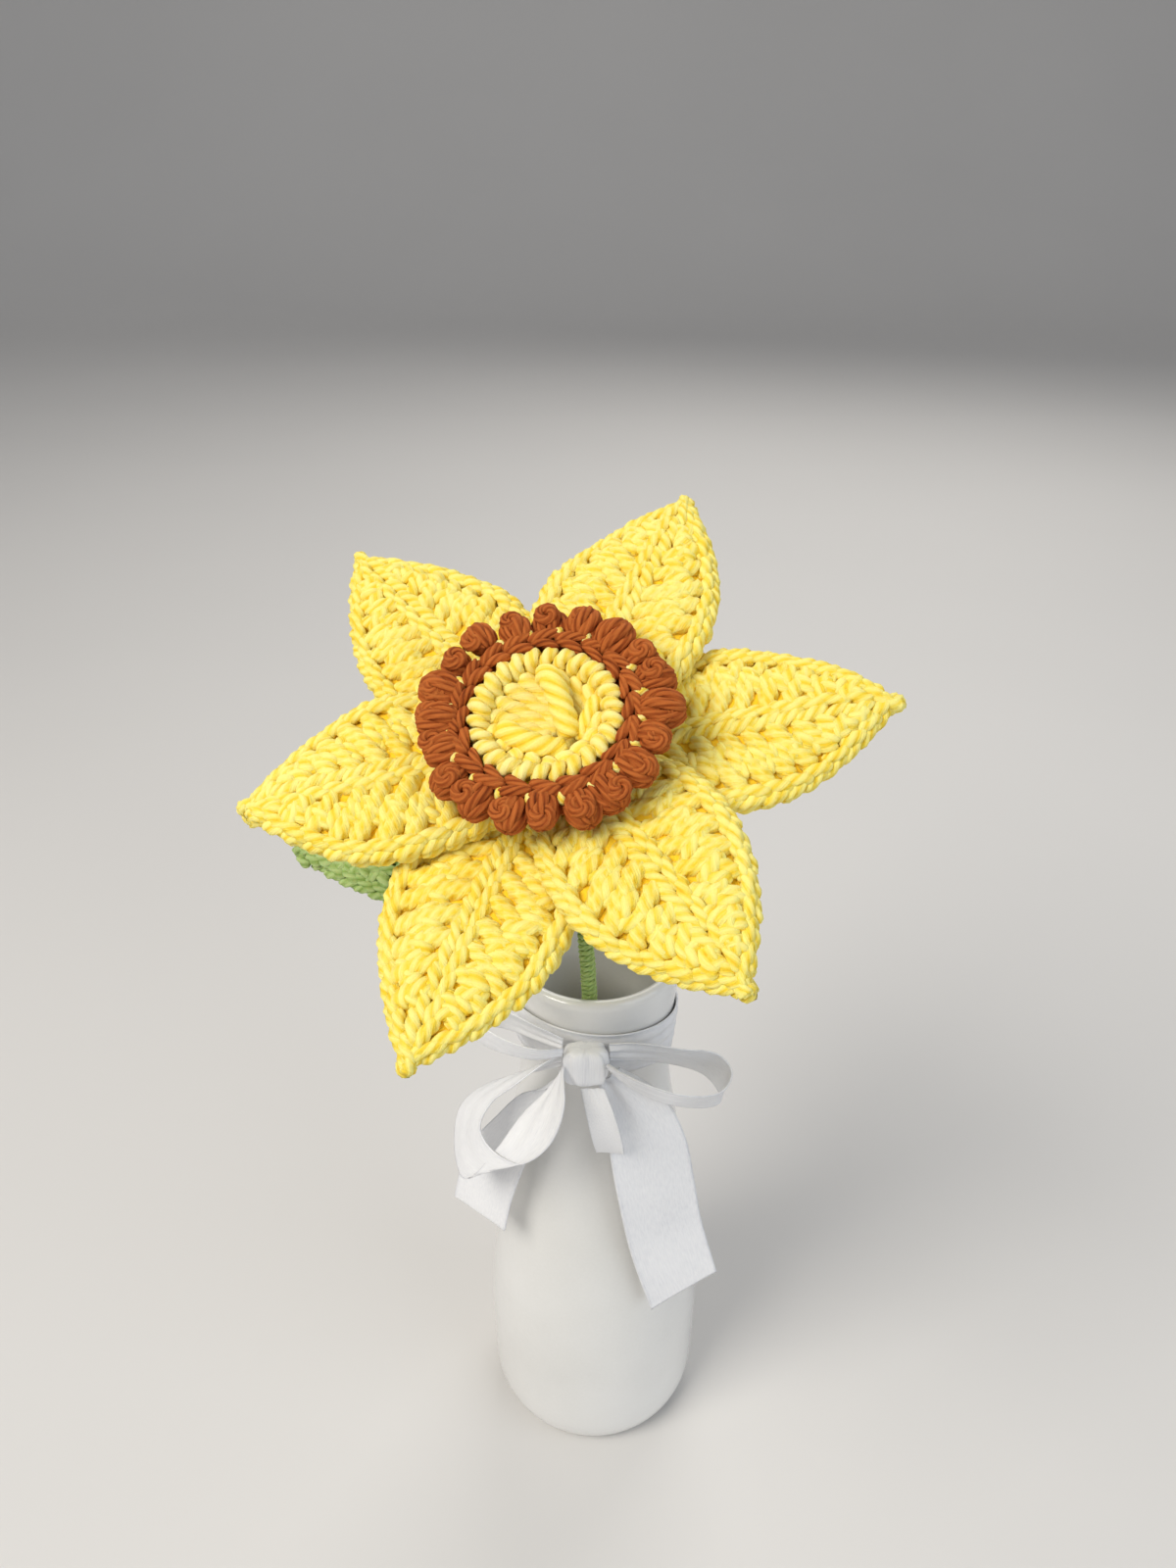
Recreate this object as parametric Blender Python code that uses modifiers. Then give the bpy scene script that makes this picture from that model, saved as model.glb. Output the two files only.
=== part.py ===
"""A crocheted daffodil on a wrapped wire stem, in a bottle vase with a ribbon bow.

The origin is the centre of the vase's foot, +Z is up and the flower faces -Y and up.
Six petals in two layers lie round a cup whose rim carries a frill of bobbles. Behind
them a calyx takes the top of the stem, which leans on the front of the vase's lip.
"""

import math

import bmesh
import bpy
import numpy as np
from mathutils import Matrix, Vector

MM = 0.001
GAP = 0.3 * MM  # clearance between pieces that touch

# Vase: height above the table and outer radius, from the foot up to the lip.
VASE_SIDE = [
    (4.5, 25.2),
    (9.0, 26.2),
    (34.0, 26.3),
    (46.0, 25.4),
    (60.0, 23.7),
    (76.0, 21.7),
    (92.0, 19.5),
    (104.0, 17.7),
    (112.0, 16.8),
    (119.0, 16.5),
    (129.0, 17.3),
    (141.5, 18.8),
]
VASE_HEIGHT = 143.5 * MM
FOOT_RADIUS = 21.5 * MM
VASE_WALL = 2.8 * MM
VASE_FLOOR = 4.2 * MM
VASE_STEPS = 36

# Flower head: where its middle is and which way it faces.
HEAD_CENTRE = Vector((-7.0, -24.5, 204.0)) * MM
HEAD_AXIS = Vector((-0.10, -0.49, 0.866)).normalized()

# Petals: name, turn about the head's axis from its right-hand side, reach from the
# centre, layer (front or back) and how far the tip lifts forward.
PETALS = [
    ("petal_left", 192.0, 52.5, "front", 2.0),
    ("petal_lower_left", 247.0, 57.5, "back", 1.0),
    ("petal_lower_right", 304.0, 53.5, "front", 0.5),
    ("petal_right", 367.0, 58.5, "back", 3.0),
    ("petal_upper_right", 423.5, 56.0, "front", 2.0),
    ("petal_upper_left", 490.0, 60.5, "back", 2.0),
]
PETAL_THICKNESS = 4.2 * MM
PETAL_HALF_WIDTH = 16.2 * MM
PETAL_START = 6.0 * MM  # where a petal begins, from the head's axis
PETAL_WIDEST = 0.44  # share of the length where it is widest
PETAL_ARCH = 3.2 * MM  # how far its middle stands above its ends
PETAL_DROOP = 2.6 * MM  # how far its sides fall, past the middle
TIP_HALF_WIDTH = 1.6 * MM
LAYER_HEIGHT = {"front": 2.3 * MM, "back": -2.3 * MM}

# Cup, frill and stamens, as distances from the head's axis and heights along it.
CUP_BASE_RADIUS = 7.6 * MM
CUP_RIM_RADIUS = 12.6 * MM
CUP_WALL = 2.6 * MM
CUP_FOOT_HEIGHT = 4.5 * MM
CUP_RIM_HEIGHT = 14.0 * MM
FRILL_RING_RADIUS = 16.1 * MM
FRILL_HEIGHT = 12.0 * MM
FRILL_TUBE = 3.1 * MM
BOBBLES = 20
BOBBLE_SWELL = 0.45
STAMEN_RADIUS = 1.3 * MM
STAMENS = [
    # name, then the foot and the head as turn in degrees, distance out and height
    ("stamen_1", (300.0, 2.2, 8.6), (108.0, 6.0, 14.4)),
    ("stamen_2", (60.0, 3.0, 8.6), (40.0, 6.6, 13.2)),
    ("stamen_3", (200.0, 2.6, 8.6), (225.0, 6.6, 13.6)),
]

# Calyx: distance from the head's axis and height along it, down its outer side.
CALYX_SIDE = [(9.5, -4.3), (9.2, -6.8), (7.4, -10.4), (5.2, -14.0), (3.9, -18.5), (3.4, -21.5)]
CALYX_BORE = 2.0 * MM
CALYX_DISH = 0.5 * MM  # how much lower its front face is at the bore than at the rim

# Stem: the wire's path from the vase's floor to the calyx.
STEM_PATH = [
    Vector((1.0, 15.2, 5.1)) * MM,
    Vector((0.6, 8.0, 42.0)) * MM,
    Vector((0.0, 0.6, 80.0)) * MM,
    Vector((-0.7, -7.2, 115.0)) * MM,
    Vector((-1.3, -13.2, 143.5)) * MM,
    Vector((-2.3, -12.7, 160.0)) * MM,
    Vector((-3.4, -11.9, 173.0)) * MM,
]
WIRE_RADIUS = 0.6 * MM
YARN_BORE = 0.9 * MM
STEM_RADIUS = 1.7 * MM
CALYX_LOW_END = -21.5 * MM  # height of the calyx's lower end along the head's axis
YARN_TOP = -8.0 * MM  # where the yarn and the wire end, along the head's axis
WIRE_TOP = -6.0 * MM

# Leaf: the middle line, from the stem out, with half widths.
LEAF_LINE = [
    (-4.6, -12.6, 160.7, 2.4),
    (-12.0, -12.8, 163.5, 5.0),
    (-23.0, -11.6, 167.0, 7.6),
    (-35.0, -9.5, 169.5, 8.2),
    (-46.0, -7.0, 170.5, 6.2),
    (-54.0, -5.0, 170.8, 3.4),
    (-59.0, -4.0, 170.8, 1.2),
]
LEAF_FACE = Vector((0.10, -0.62, 0.78)).normalized()
LEAF_THICKNESS = 3.4 * MM

# Ribbon: a band round the neck, a knot in front and strips that leave the knot.
RIBBON_THICKNESS = 0.6 * MM
BAND_MIDDLE = 126.0 * MM
BAND_HALF_WIDTH = 6.0 * MM
BAND_RISE_FRONT = 4.0 * MM
BAND_RISE_LEFT = 2.0 * MM
KNOT_CENTRE = Vector((-2.0, -22.1, 131.0)) * MM
KNOT_SIZE = Vector((8.0, 5.6, 9.0)) * MM
# Each strip: middle line points, then its width directions and half widths there.
STRIPS = {
    "bow_loop_lower_left": [
        ((-6.8, -23.2, 129.8), (0.20, -0.40, 0.90), 2.8),
        ((-10.0, -27.0, 124.0), (0.60, -0.50, 0.62), 6.5),
        ((-14.5, -29.5, 115.5), (0.72, -0.42, 0.55), 8.0),
        ((-20.0, -29.0, 108.0), (0.66, -0.40, 0.64), 8.0),
        ((-25.0, -25.0, 104.5), (0.50, -0.30, 0.81), 8.0),
        ((-27.6, -20.5, 108.0), (0.42, -0.42, 0.80), 8.0),
        ((-25.5, -18.2, 115.5), (0.50, -0.55, 0.66), 8.0),
        ((-19.5, -19.0, 122.5), (0.50, -0.60, 0.62), 7.0),
        ((-12.5, -20.2, 128.0), (0.40, -0.50, 0.76), 5.0),
        ((-6.8, -20.8, 131.0), (0.15, -0.30, 0.94), 2.2),
    ],
    "bow_loop_upper_left": [
        ((-6.6, -23.4, 135.3), (0.10, -0.40, 0.90), 1.8),
        ((-12.5, -25.2, 136.4), (0.20, -0.50, 0.84), 3.4),
        ((-19.5, -23.8, 137.8), (0.20, -0.50, 0.84), 4.2),
        ((-24.6, -19.8, 138.4), (0.10, -0.40, 0.91), 4.4),
        ((-23.8, -16.2, 139.0), (0.10, -0.30, 0.95), 4.4),
        ((-18.0, -17.4, 138.6), (0.10, -0.40, 0.91), 4.0),
        ((-12.0, -19.6, 137.2), (0.10, -0.40, 0.91), 3.2),
        ((-6.6, -21.2, 135.7), (0.05, -0.20, 0.97), 1.8),
    ],
    "bow_loop_right": [
        ((2.6, -23.4, 131.4), (-0.10, -0.60, 0.80), 3.2),
        ((8.5, -27.0, 129.8), (0.10, -0.62, 0.78), 5.6),
        ((16.0, -27.4, 126.6), (0.20, -0.60, 0.77), 6.8),
        ((23.5, -24.4, 123.2), (0.20, -0.50, 0.84), 6.4),
        ((27.2, -19.8, 122.4), (0.10, -0.30, 0.94), 6.0),
        ((24.0, -17.0, 125.6), (0.10, -0.40, 0.90), 6.0),
        ((16.5, -18.4, 129.2), (0.10, -0.50, 0.86), 5.4),
        ((9.0, -20.0, 132.0), (0.05, -0.40, 0.91), 4.4),
        ((2.8, -20.6, 132.6), (0.0, -0.20, 0.98), 2.8),
    ],
    "bow_fold_middle": [
        ((-0.6, -24.0, 126.0), (0.95, -0.10, 0.10), 2.4),
        ((1.0, -26.6, 121.5), (0.95, -0.20, 0.15), 3.0),
        ((2.4, -27.2, 115.0), (0.95, -0.20, 0.15), 3.2),
        ((3.2, -26.0, 109.5), (0.95, -0.20, 0.10), 3.0),
    ],
    "ribbon_tail_left": [
        ((-7.4, -20.0, 125.6), (0.50, 0.10, 0.86), 3.0),
        ((-11.5, -18.6, 118.6), (0.82, -0.45, 0.36), 5.0),
        ((-16.4, -16.4, 108.0), (0.80, -0.52, 0.30), 7.0),
        ((-21.4, -14.8, 97.0), (0.78, -0.60, 0.20), 8.0),
        ((-24.8, -14.6, 86.0), (0.76, -0.64, 0.10), 8.2),
        ((-26.6, -15.0, 77.0), (0.76, -0.64, 0.06), 8.2),
    ],
    "ribbon_tail_right": [
        ((2.8, -20.9, 126.4), (0.70, 0.10, 0.70), 3.0),
        ((7.8, -21.6, 119.0), (0.86, 0.16, 0.46), 6.2),
        ((11.2, -22.4, 107.0), (0.92, 0.26, 0.24), 8.4),
        ((13.6, -22.6, 93.0), (0.93, 0.30, 0.18), 8.8),
        ((16.2, -22.6, 78.0), (0.90, 0.28, 0.30), 8.8),
        ((20.8, -23.0, 60.0), (0.84, 0.20, 0.50), 9.0),
    ],
}

MATERIALS = {
    # name: colour, roughness, metallic
    "glazed_ceramic": ((0.80, 0.79, 0.75), 0.12, 0.0),
    "yellow_yarn": ((0.93, 0.66, 0.10), 0.85, 0.0),
    "rust_yarn": ((0.36, 0.09, 0.02), 0.85, 0.0),
    "green_yarn": ((0.25, 0.38, 0.09), 0.85, 0.0),
    "satin_ribbon": ((0.82, 0.81, 0.80), 0.35, 0.0),
    "steel_wire": ((0.45, 0.45, 0.44), 0.35, 1.0),
}


def clear_scene():
    """Takes away whatever the scene starts with."""
    for obj in list(bpy.data.objects):
        bpy.data.objects.remove(obj)


def material(name):
    """The named finish, made once."""
    found = bpy.data.materials.get(name)
    if found:
        return found
    colour, roughness, metallic = MATERIALS[name]
    made = bpy.data.materials.new(name)
    made.use_nodes = True
    shader = made.node_tree.nodes["Principled BSDF"]
    shader.inputs["Base Color"].default_value = (*colour, 1.0)
    shader.inputs["Roughness"].default_value = roughness
    shader.inputs["Metallic"].default_value = metallic
    return made


def add_object(name, data, finish, smooth=True):
    """Puts a mesh or curve in the part's collection, with its finish."""
    obj = bpy.data.objects.new(name, data)
    bpy.data.collections["daffodil_in_vase"].objects.link(obj)
    data.materials.append(material(finish))
    if smooth and isinstance(data, bpy.types.Mesh):
        data.shade_smooth()
    return obj


def turn(obj, name, steps):
    """Screw: a profile in the XZ plane turned once round Z."""
    screw = obj.modifiers.new(name, "SCREW")
    screw.axis = "Z"
    screw.steps = steps
    screw.render_steps = steps
    screw.use_merge_vertices = True
    screw.merge_threshold = 0.00002
    return screw


def thicken(obj, thickness, offset=0.0):
    """Solidify: an open surface made a shell."""
    shell = obj.modifiers.new("thickness", "SOLIDIFY")
    shell.thickness = thickness
    shell.offset = offset
    return shell


def soften(obj, levels=1):
    """Subdivision Surface: a coarse cage rounded off."""
    rounding = obj.modifiers.new("rounding", "SUBSURF")
    rounding.levels = levels
    rounding.render_levels = levels
    return rounding


def profile_mesh(name, points, closed=False):
    """A line of points in the XZ plane, as (distance, height) pairs."""
    mesh = bpy.data.meshes.new(name)
    count = len(points)
    edges = [(i, i + 1) for i in range(count - 1)]
    if closed:
        edges.append((count - 1, 0))
    mesh.from_pydata([(x, 0.0, z) for x, z in points], edges, [])
    return mesh


def grid_mesh(name, across, along, place):
    """A flat grid whose points are moved to place(u, v), with u and v from 0 to 1."""
    shape = bmesh.new()
    bmesh.ops.create_grid(shape, x_segments=across, y_segments=along, size=0.5)
    for vert in shape.verts:
        vert.co = place(vert.co.x + 0.5, vert.co.y + 0.5)
    mesh = bpy.data.meshes.new(name)
    shape.to_mesh(mesh)
    shape.free()
    return mesh


def smooth_curve(points, share):
    """A smooth line through the points, read at a share from 0 to 1 of its length."""
    spans = len(points) - 1
    place = min(max(share, 0.0), 1.0) * spans
    index = min(int(place), spans - 1)
    t = place - index
    before = points[max(index - 1, 0)]
    start, end = points[index], points[index + 1]
    after = points[min(index + 2, spans)]
    return 0.5 * (
        2 * start
        + (end - before) * t
        + (2 * before - 5 * start + 4 * end - after) * t**2
        + (3 * start - before - 3 * end + after) * t**3
    )


def head_frame():
    """The head's frame: X to its right, Y up its face, Z along its axis."""
    right = Vector((1.0, 0.0, 0.0))
    right = (right - HEAD_AXIS * right.dot(HEAD_AXIS)).normalized()
    up = HEAD_AXIS.cross(right)
    frame = Matrix((right, up, HEAD_AXIS)).transposed().to_4x4()
    frame.translation = HEAD_CENTRE
    return frame


def head_point(turn_degrees, distance, height):
    """A point of the head from its turn, its distance out and its height."""
    angle = math.radians(turn_degrees)
    flat = Vector((math.cos(angle) * distance, math.sin(angle) * distance, height))
    return head_frame() @ flat


def vase_radius(height):
    """The vase's outer radius at a height, both in metres."""
    heights, radii = zip(*VASE_SIDE)
    return float(np.interp(height / MM, heights, radii)) * MM


def build_vase():
    """The bottle: its inner floor and side up to the lip, then its outer side and foot."""
    lip = VASE_SIDE[-1][1] * MM
    side = [(radius * MM, height * MM) for height, radius in reversed(VASE_SIDE)]
    foot = [
        (FOOT_RADIUS + 2.2 * MM, 2.0 * MM),
        (FOOT_RADIUS + 0.9 * MM, 0.5 * MM),
        (FOOT_RADIUS, 0.0),
    ]
    inner = [
        (0.0, VASE_FLOOR),
        (FOOT_RADIUS - 2.5 * MM, VASE_FLOOR),
        (FOOT_RADIUS + 0.8 * MM, VASE_FLOOR + 2 * MM),
    ]
    inner += [(x - VASE_WALL, z) for x, z in reversed(side) if z > 2 * VASE_FLOOR]
    rim = [
        (lip - VASE_WALL + 0.5 * MM, VASE_HEIGHT - 0.3 * MM),
        (lip - 0.5 * VASE_WALL, VASE_HEIGHT),
        (lip - 0.3 * MM, VASE_HEIGHT - 0.6 * MM),
    ]
    mesh = profile_mesh("vase", inner + rim + side + foot + [(0.0, 0.0)])
    obj = add_object("vase", mesh, "glazed_ceramic")
    turn(obj, "turned", VASE_STEPS)


def petal_half_width(share):
    """A petal's half width at a share of its length: broad, then drawn to a tip."""
    if share < PETAL_WIDEST:
        width = 1.0 - 0.44 * ((PETAL_WIDEST - share) / PETAL_WIDEST) ** 2
    else:
        width = 1.0 - ((share - PETAL_WIDEST) / (1.0 - PETAL_WIDEST)) ** 1.9
    return max(PETAL_HALF_WIDTH * width, TIP_HALF_WIDTH)


def rise(share, start, end):
    """Nought up to start, one from end on, and smooth between them."""
    t = min(max((share - start) / (end - start), 0.0), 1.0)
    return t * t * (3 - 2 * t)


def build_petal(name, turned, reach, layer, tip_lift):
    """One petal: an arched leaf shape whose sides droop past its middle."""
    length = reach * MM - PETAL_START
    frame = head_frame() @ Matrix.Rotation(math.radians(turned), 4, "Z")

    def place(u, v):
        half = petal_half_width(v)
        across = 2 * u - 1
        height = LAYER_HEIGHT[layer] + PETAL_ARCH * math.sin(math.pi * v)
        height -= PETAL_DROOP * across**2 * rise(v, 0.42, 0.75) * half / PETAL_HALF_WIDTH
        height += tip_lift * MM * rise(v, 0.5, 1.0)
        return frame @ Vector((PETAL_START + length * v, across * half, height))

    obj = add_object(name, grid_mesh(name, 4, 8, place), "yellow_yarn")
    thicken(obj, PETAL_THICKNESS)
    soften(obj)


def build_cup():
    """The cup: a small turned wall with a floor, open to the front."""
    rim, base = CUP_RIM_RADIUS, CUP_BASE_RADIUS
    foot, top = CUP_FOOT_HEIGHT, CUP_RIM_HEIGHT
    inside = [
        (0.0, foot + CUP_WALL),
        (base - 2.0 * MM, foot + CUP_WALL),
        (base - 0.2 * MM, foot + CUP_WALL + 1.2 * MM),
        (rim - CUP_WALL - 0.8 * MM, top - 3.4 * MM),
        (rim - CUP_WALL, top - 0.9 * MM),
    ]
    outside = [
        (rim - 0.5 * CUP_WALL, top),
        (rim - 0.3 * MM, top - 0.7 * MM),
        (rim, top - 2.0 * MM),
        (rim - 1.0 * MM, top - 4.6 * MM),
        (base + 1.8 * MM, foot + 2.0 * MM),
        (base - 0.6 * MM, foot),
        (0.0, foot),
    ]
    mesh = profile_mesh("corona_cup", inside + outside)
    obj = add_object("corona_cup", mesh, "yellow_yarn")
    turn(obj, "turned", 28)
    obj.matrix_world = head_frame()


def build_frill():
    """The frill: a ring whose outer half swells into a row of bobbles."""
    bpy.ops.mesh.primitive_torus_add(
        major_segments=BOBBLES * 4,
        minor_segments=8,
        major_radius=FRILL_RING_RADIUS,
        minor_radius=FRILL_TUBE,
    )
    ring = bpy.context.object
    mesh = ring.data.copy()
    bpy.data.objects.remove(ring)
    mesh.name = "corona_frill"
    for vert in mesh.vertices:
        angle = math.atan2(vert.co.y, vert.co.x)
        distance = math.hypot(vert.co.x, vert.co.y)
        lobe = 0.5 + 0.5 * math.cos(BOBBLES * angle)
        outward = max(distance - FRILL_RING_RADIUS, 0.0)
        swollen = distance + outward * BOBBLE_SWELL * lobe
        vert.co.x = math.cos(angle) * swollen
        vert.co.y = math.sin(angle) * swollen
        vert.co.z = vert.co.z * (0.86 + 0.12 * lobe) + FRILL_HEIGHT
    obj = add_object("corona_frill", mesh, "rust_yarn")
    obj.matrix_world = head_frame()


def tube(name, points, radius, finish, sides=2):
    """A round rod along a line of points, closed at both ends."""
    curve = bpy.data.curves.new(name, "CURVE")
    curve.dimensions = "3D"
    curve.bevel_depth = radius
    curve.bevel_resolution = sides
    curve.use_fill_caps = True
    spline = curve.splines.new("POLY")
    spline.points.add(len(points) - 1)
    for slot, point in zip(spline.points, points):
        slot.co = (*point, 1.0)
    return add_object(name, curve, finish)


def build_stamens():
    """Three thick strands of yarn that stand in the cup and lean on its wall."""
    for name, foot, head in STAMENS:
        start = head_point(foot[0], foot[1] * MM, foot[2] * MM)
        end = head_point(head[0], head[1] * MM, head[2] * MM)
        bend = (start + end) / 2 + HEAD_AXIS * 0.8 * MM
        line = [smooth_curve([start, bend, end], i / 6) for i in range(7)]
        tube(name, line, STAMEN_RADIUS, "yellow_yarn")


def build_calyx():
    """The cap behind the petals, turned, with a bore for the stem."""
    side = [(x * MM, z * MM) for x, z in CALYX_SIDE]
    bore = [(CALYX_BORE, CALYX_LOW_END), (CALYX_BORE, side[0][1] - CALYX_DISH)]
    mesh = profile_mesh("calyx", side + bore, closed=True)
    obj = add_object("calyx", mesh, "green_yarn")
    turn(obj, "turned", 24)
    obj.matrix_world = head_frame()


def stem_line(top, count):
    """The stem's middle line from the vase's floor to a height on the head's axis."""
    straight = [head_point(0.0, 0.0, CALYX_LOW_END - 5 * MM), head_point(0.0, 0.0, CALYX_LOW_END)]
    points = STEM_PATH + straight + [head_point(0.0, 0.0, top)]
    return [smooth_curve(points, i / (count - 1)) for i in range(count)]


def build_stem():
    """The wire core, and the yarn wound round it as a sleeve."""
    tube("stem_wire", stem_line(WIRE_TOP, 40), WIRE_RADIUS, "steel_wire", sides=1)
    sleeve = tube("sleeve", stem_line(YARN_TOP, 40), YARN_BORE, "green_yarn")
    sleeve.data.use_fill_caps = False
    graph = bpy.context.evaluated_depsgraph_get()
    mesh = bpy.data.meshes.new_from_object(sleeve.evaluated_get(graph))
    bpy.data.objects.remove(sleeve)
    mesh.name = "stem_yarn"
    obj = bpy.data.objects.new("stem_yarn", mesh)
    bpy.data.collections["daffodil_in_vase"].objects.link(obj)
    mesh.shade_smooth()
    thicken(obj, STEM_RADIUS - YARN_BORE, offset=1.0)


def build_leaf():
    """The leaf: a long pointed shape that springs from the stem to the left."""
    line = [Vector(point[:3]) * MM for point in LEAF_LINE]
    halves = [point[3] * MM for point in LEAF_LINE]

    def place(u, v):
        middle = smooth_curve(line, v)
        ahead = smooth_curve(line, min(v + 0.02, 1.0)) - smooth_curve(line, max(v - 0.02, 0.0))
        side = LEAF_FACE.cross(ahead).normalized()
        across = 2 * u - 1
        fall = LEAF_FACE * (1.6 * MM * across**2)
        return middle + side * (across * smooth_curve(halves, v)) - fall

    obj = add_object("leaf", grid_mesh("leaf", 4, 8, place), "green_yarn")
    thicken(obj, LEAF_THICKNESS)
    soften(obj)


def build_band():
    """The ribbon round the neck, which follows the vase's side and tilts a little."""

    def place(u, v):
        angle = 2 * math.pi * v
        middle = BAND_MIDDLE - BAND_RISE_FRONT * math.sin(angle) - BAND_RISE_LEFT * math.cos(angle)
        height = middle + BAND_HALF_WIDTH * (2 * u - 1)
        radius = vase_radius(height) + GAP + RIBBON_THICKNESS / 2
        radius /= math.cos(math.pi / VASE_STEPS)
        return Vector((math.cos(angle) * radius, math.sin(angle) * radius, height))

    shape = bmesh.new()
    mesh = grid_mesh("ribbon_band", 3, VASE_STEPS, place)
    shape.from_mesh(mesh)
    bmesh.ops.remove_doubles(shape, verts=shape.verts, dist=0.00002)
    bmesh.ops.recalc_face_normals(shape, faces=shape.faces)
    shape.to_mesh(mesh)
    shape.free()
    obj = add_object("ribbon_band", mesh, "satin_ribbon")
    thicken(obj, RIBBON_THICKNESS)


def build_knot():
    """The tied knot: a small block with every edge rounded."""
    shape = bmesh.new()
    bmesh.ops.create_cube(shape, size=1.0)
    bmesh.ops.scale(shape, vec=KNOT_SIZE, verts=shape.verts)
    bmesh.ops.translate(shape, vec=KNOT_CENTRE, verts=shape.verts)
    mesh = bpy.data.meshes.new("ribbon_knot")
    shape.to_mesh(mesh)
    shape.free()
    obj = add_object("ribbon_knot", mesh, "satin_ribbon")
    rounded = obj.modifiers.new("rounded", "BEVEL")
    rounded.width = 1.8 * MM
    rounded.segments = 3


def build_strip(name, stations):
    """A strip of ribbon along its middle line, with the width that it has there."""
    line = [Vector(point) * MM for point, _, _ in stations]
    sides = [Vector(side).normalized() for _, side, _ in stations]
    halves = [half * MM for _, _, half in stations]

    def place(u, v):
        side = smooth_curve(sides, v).normalized()
        return smooth_curve(line, v) + side * smooth_curve(halves, v) * (2 * u - 1)

    steps = 3 * (len(stations) - 1)
    obj = add_object(name, grid_mesh(name, 3, steps, place), "satin_ribbon")
    thicken(obj, RIBBON_THICKNESS)


def main():
    """Builds every piece of the flower, the vase and the ribbon."""
    clear_scene()
    part = bpy.data.collections.new("daffodil_in_vase")
    bpy.context.scene.collection.children.link(part)
    build_vase()
    for petal in PETALS:
        build_petal(*petal)
    build_cup()
    build_frill()
    build_stamens()
    build_calyx()
    build_stem()
    build_leaf()
    build_band()
    build_knot()
    for name, stations in STRIPS.items():
        build_strip(name, stations)


main()
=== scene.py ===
"""The looks of a crocheted daffodil in a bottle vase with a satin bow.

Every stitch is a plied strand swept along its own path over the petal, cup, frill, calyx
or leaf that it belongs to. Sizes here are in millimetres and turned into metres when a
mesh is made. The frame's +Z is up and the flower faces -Y.
"""

import logging
import math
from dataclasses import dataclass
from enum import Enum

import bpy
import numpy as np
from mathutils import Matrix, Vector


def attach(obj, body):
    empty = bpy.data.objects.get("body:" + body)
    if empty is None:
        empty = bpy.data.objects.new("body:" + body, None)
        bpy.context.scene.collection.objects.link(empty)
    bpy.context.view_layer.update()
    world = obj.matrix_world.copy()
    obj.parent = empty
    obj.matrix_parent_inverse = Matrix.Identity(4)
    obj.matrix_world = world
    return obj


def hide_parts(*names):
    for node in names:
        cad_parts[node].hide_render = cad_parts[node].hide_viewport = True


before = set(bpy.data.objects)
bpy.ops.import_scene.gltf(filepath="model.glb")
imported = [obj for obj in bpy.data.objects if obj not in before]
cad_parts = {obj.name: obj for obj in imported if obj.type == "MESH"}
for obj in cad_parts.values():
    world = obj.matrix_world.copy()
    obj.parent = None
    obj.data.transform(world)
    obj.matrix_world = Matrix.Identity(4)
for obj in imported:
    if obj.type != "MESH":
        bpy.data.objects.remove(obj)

Array = np.ndarray
Span = tuple[float, float, float]
MM = 0.001
TURN = 2 * math.pi
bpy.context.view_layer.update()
log = logging.getLogger("daffodil")


# ---------------------------------------------------------------- numbers and lines


def unit(vectors: Array) -> Array:
    """Each vector divided by its own length."""
    return vectors / np.maximum(np.linalg.norm(vectors, axis=-1, keepdims=True), 1e-12)


def rise(share: Array, start: float, end: float) -> Array:
    """Nought up to start, one from end on, and 3t^2 - 2t^3 between them.

    Args:
        share: Where to read it.
        start: The last place at which it is nought.
        end: The first place at which it is one.

    Returns:
        Values from nought to one, as many as share has.
    """
    t = np.clip((share - start) / (end - start), 0.0, 1.0)
    return t * t * (3 - 2 * t)


def smooth(points: Array, shares: Array) -> Array:
    """Reads a Catmull-Rom line through points at shares from 0 to 1.

    Args:
        points: Control values, one row each.
        shares: Where to read, any shape.

    Returns:
        Values of shape shares.shape + (columns,): the cubic through each span's ends
        whose slopes there are half the step between the neighbours.
    """
    spans = len(points) - 1
    place = np.clip(shares, 0.0, 1.0) * spans
    index = np.minimum(place.astype(int), spans - 1)
    t = (place - index)[..., None]
    before, start = points[np.maximum(index - 1, 0)], points[index]
    end, after = points[index + 1], points[np.minimum(index + 2, spans)]
    return 0.5 * (
        2 * start
        + (end - before) * t
        + (2 * before - 5 * start + 4 * end - after) * t**2
        + (3 * start - before - 3 * end + after) * t**3
    )


def even(line: Array, count: int) -> Array:
    """Reads a line at places an equal distance apart.

    Args:
        line: Points, one row each.
        count: How many places.

    Returns:
        The line's points at those places.
    """
    steps = np.linalg.norm(np.diff(line, axis=0), axis=1)
    run = np.concatenate([[0.0], np.cumsum(steps)])
    at = np.linspace(0.0, run[-1], count)
    return np.stack([np.interp(at, run, line[:, i]) for i in range(line.shape[1])], axis=1)


def scatter(rng: np.random.Generator, count: int, size: float) -> Array:
    """Random offsets of about the given size, one for each strand and alike along it."""
    return rng.normal(0.0, size, (count, 3))[:, None, :]


# ---------------------------------------------------------------- meshes


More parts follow.
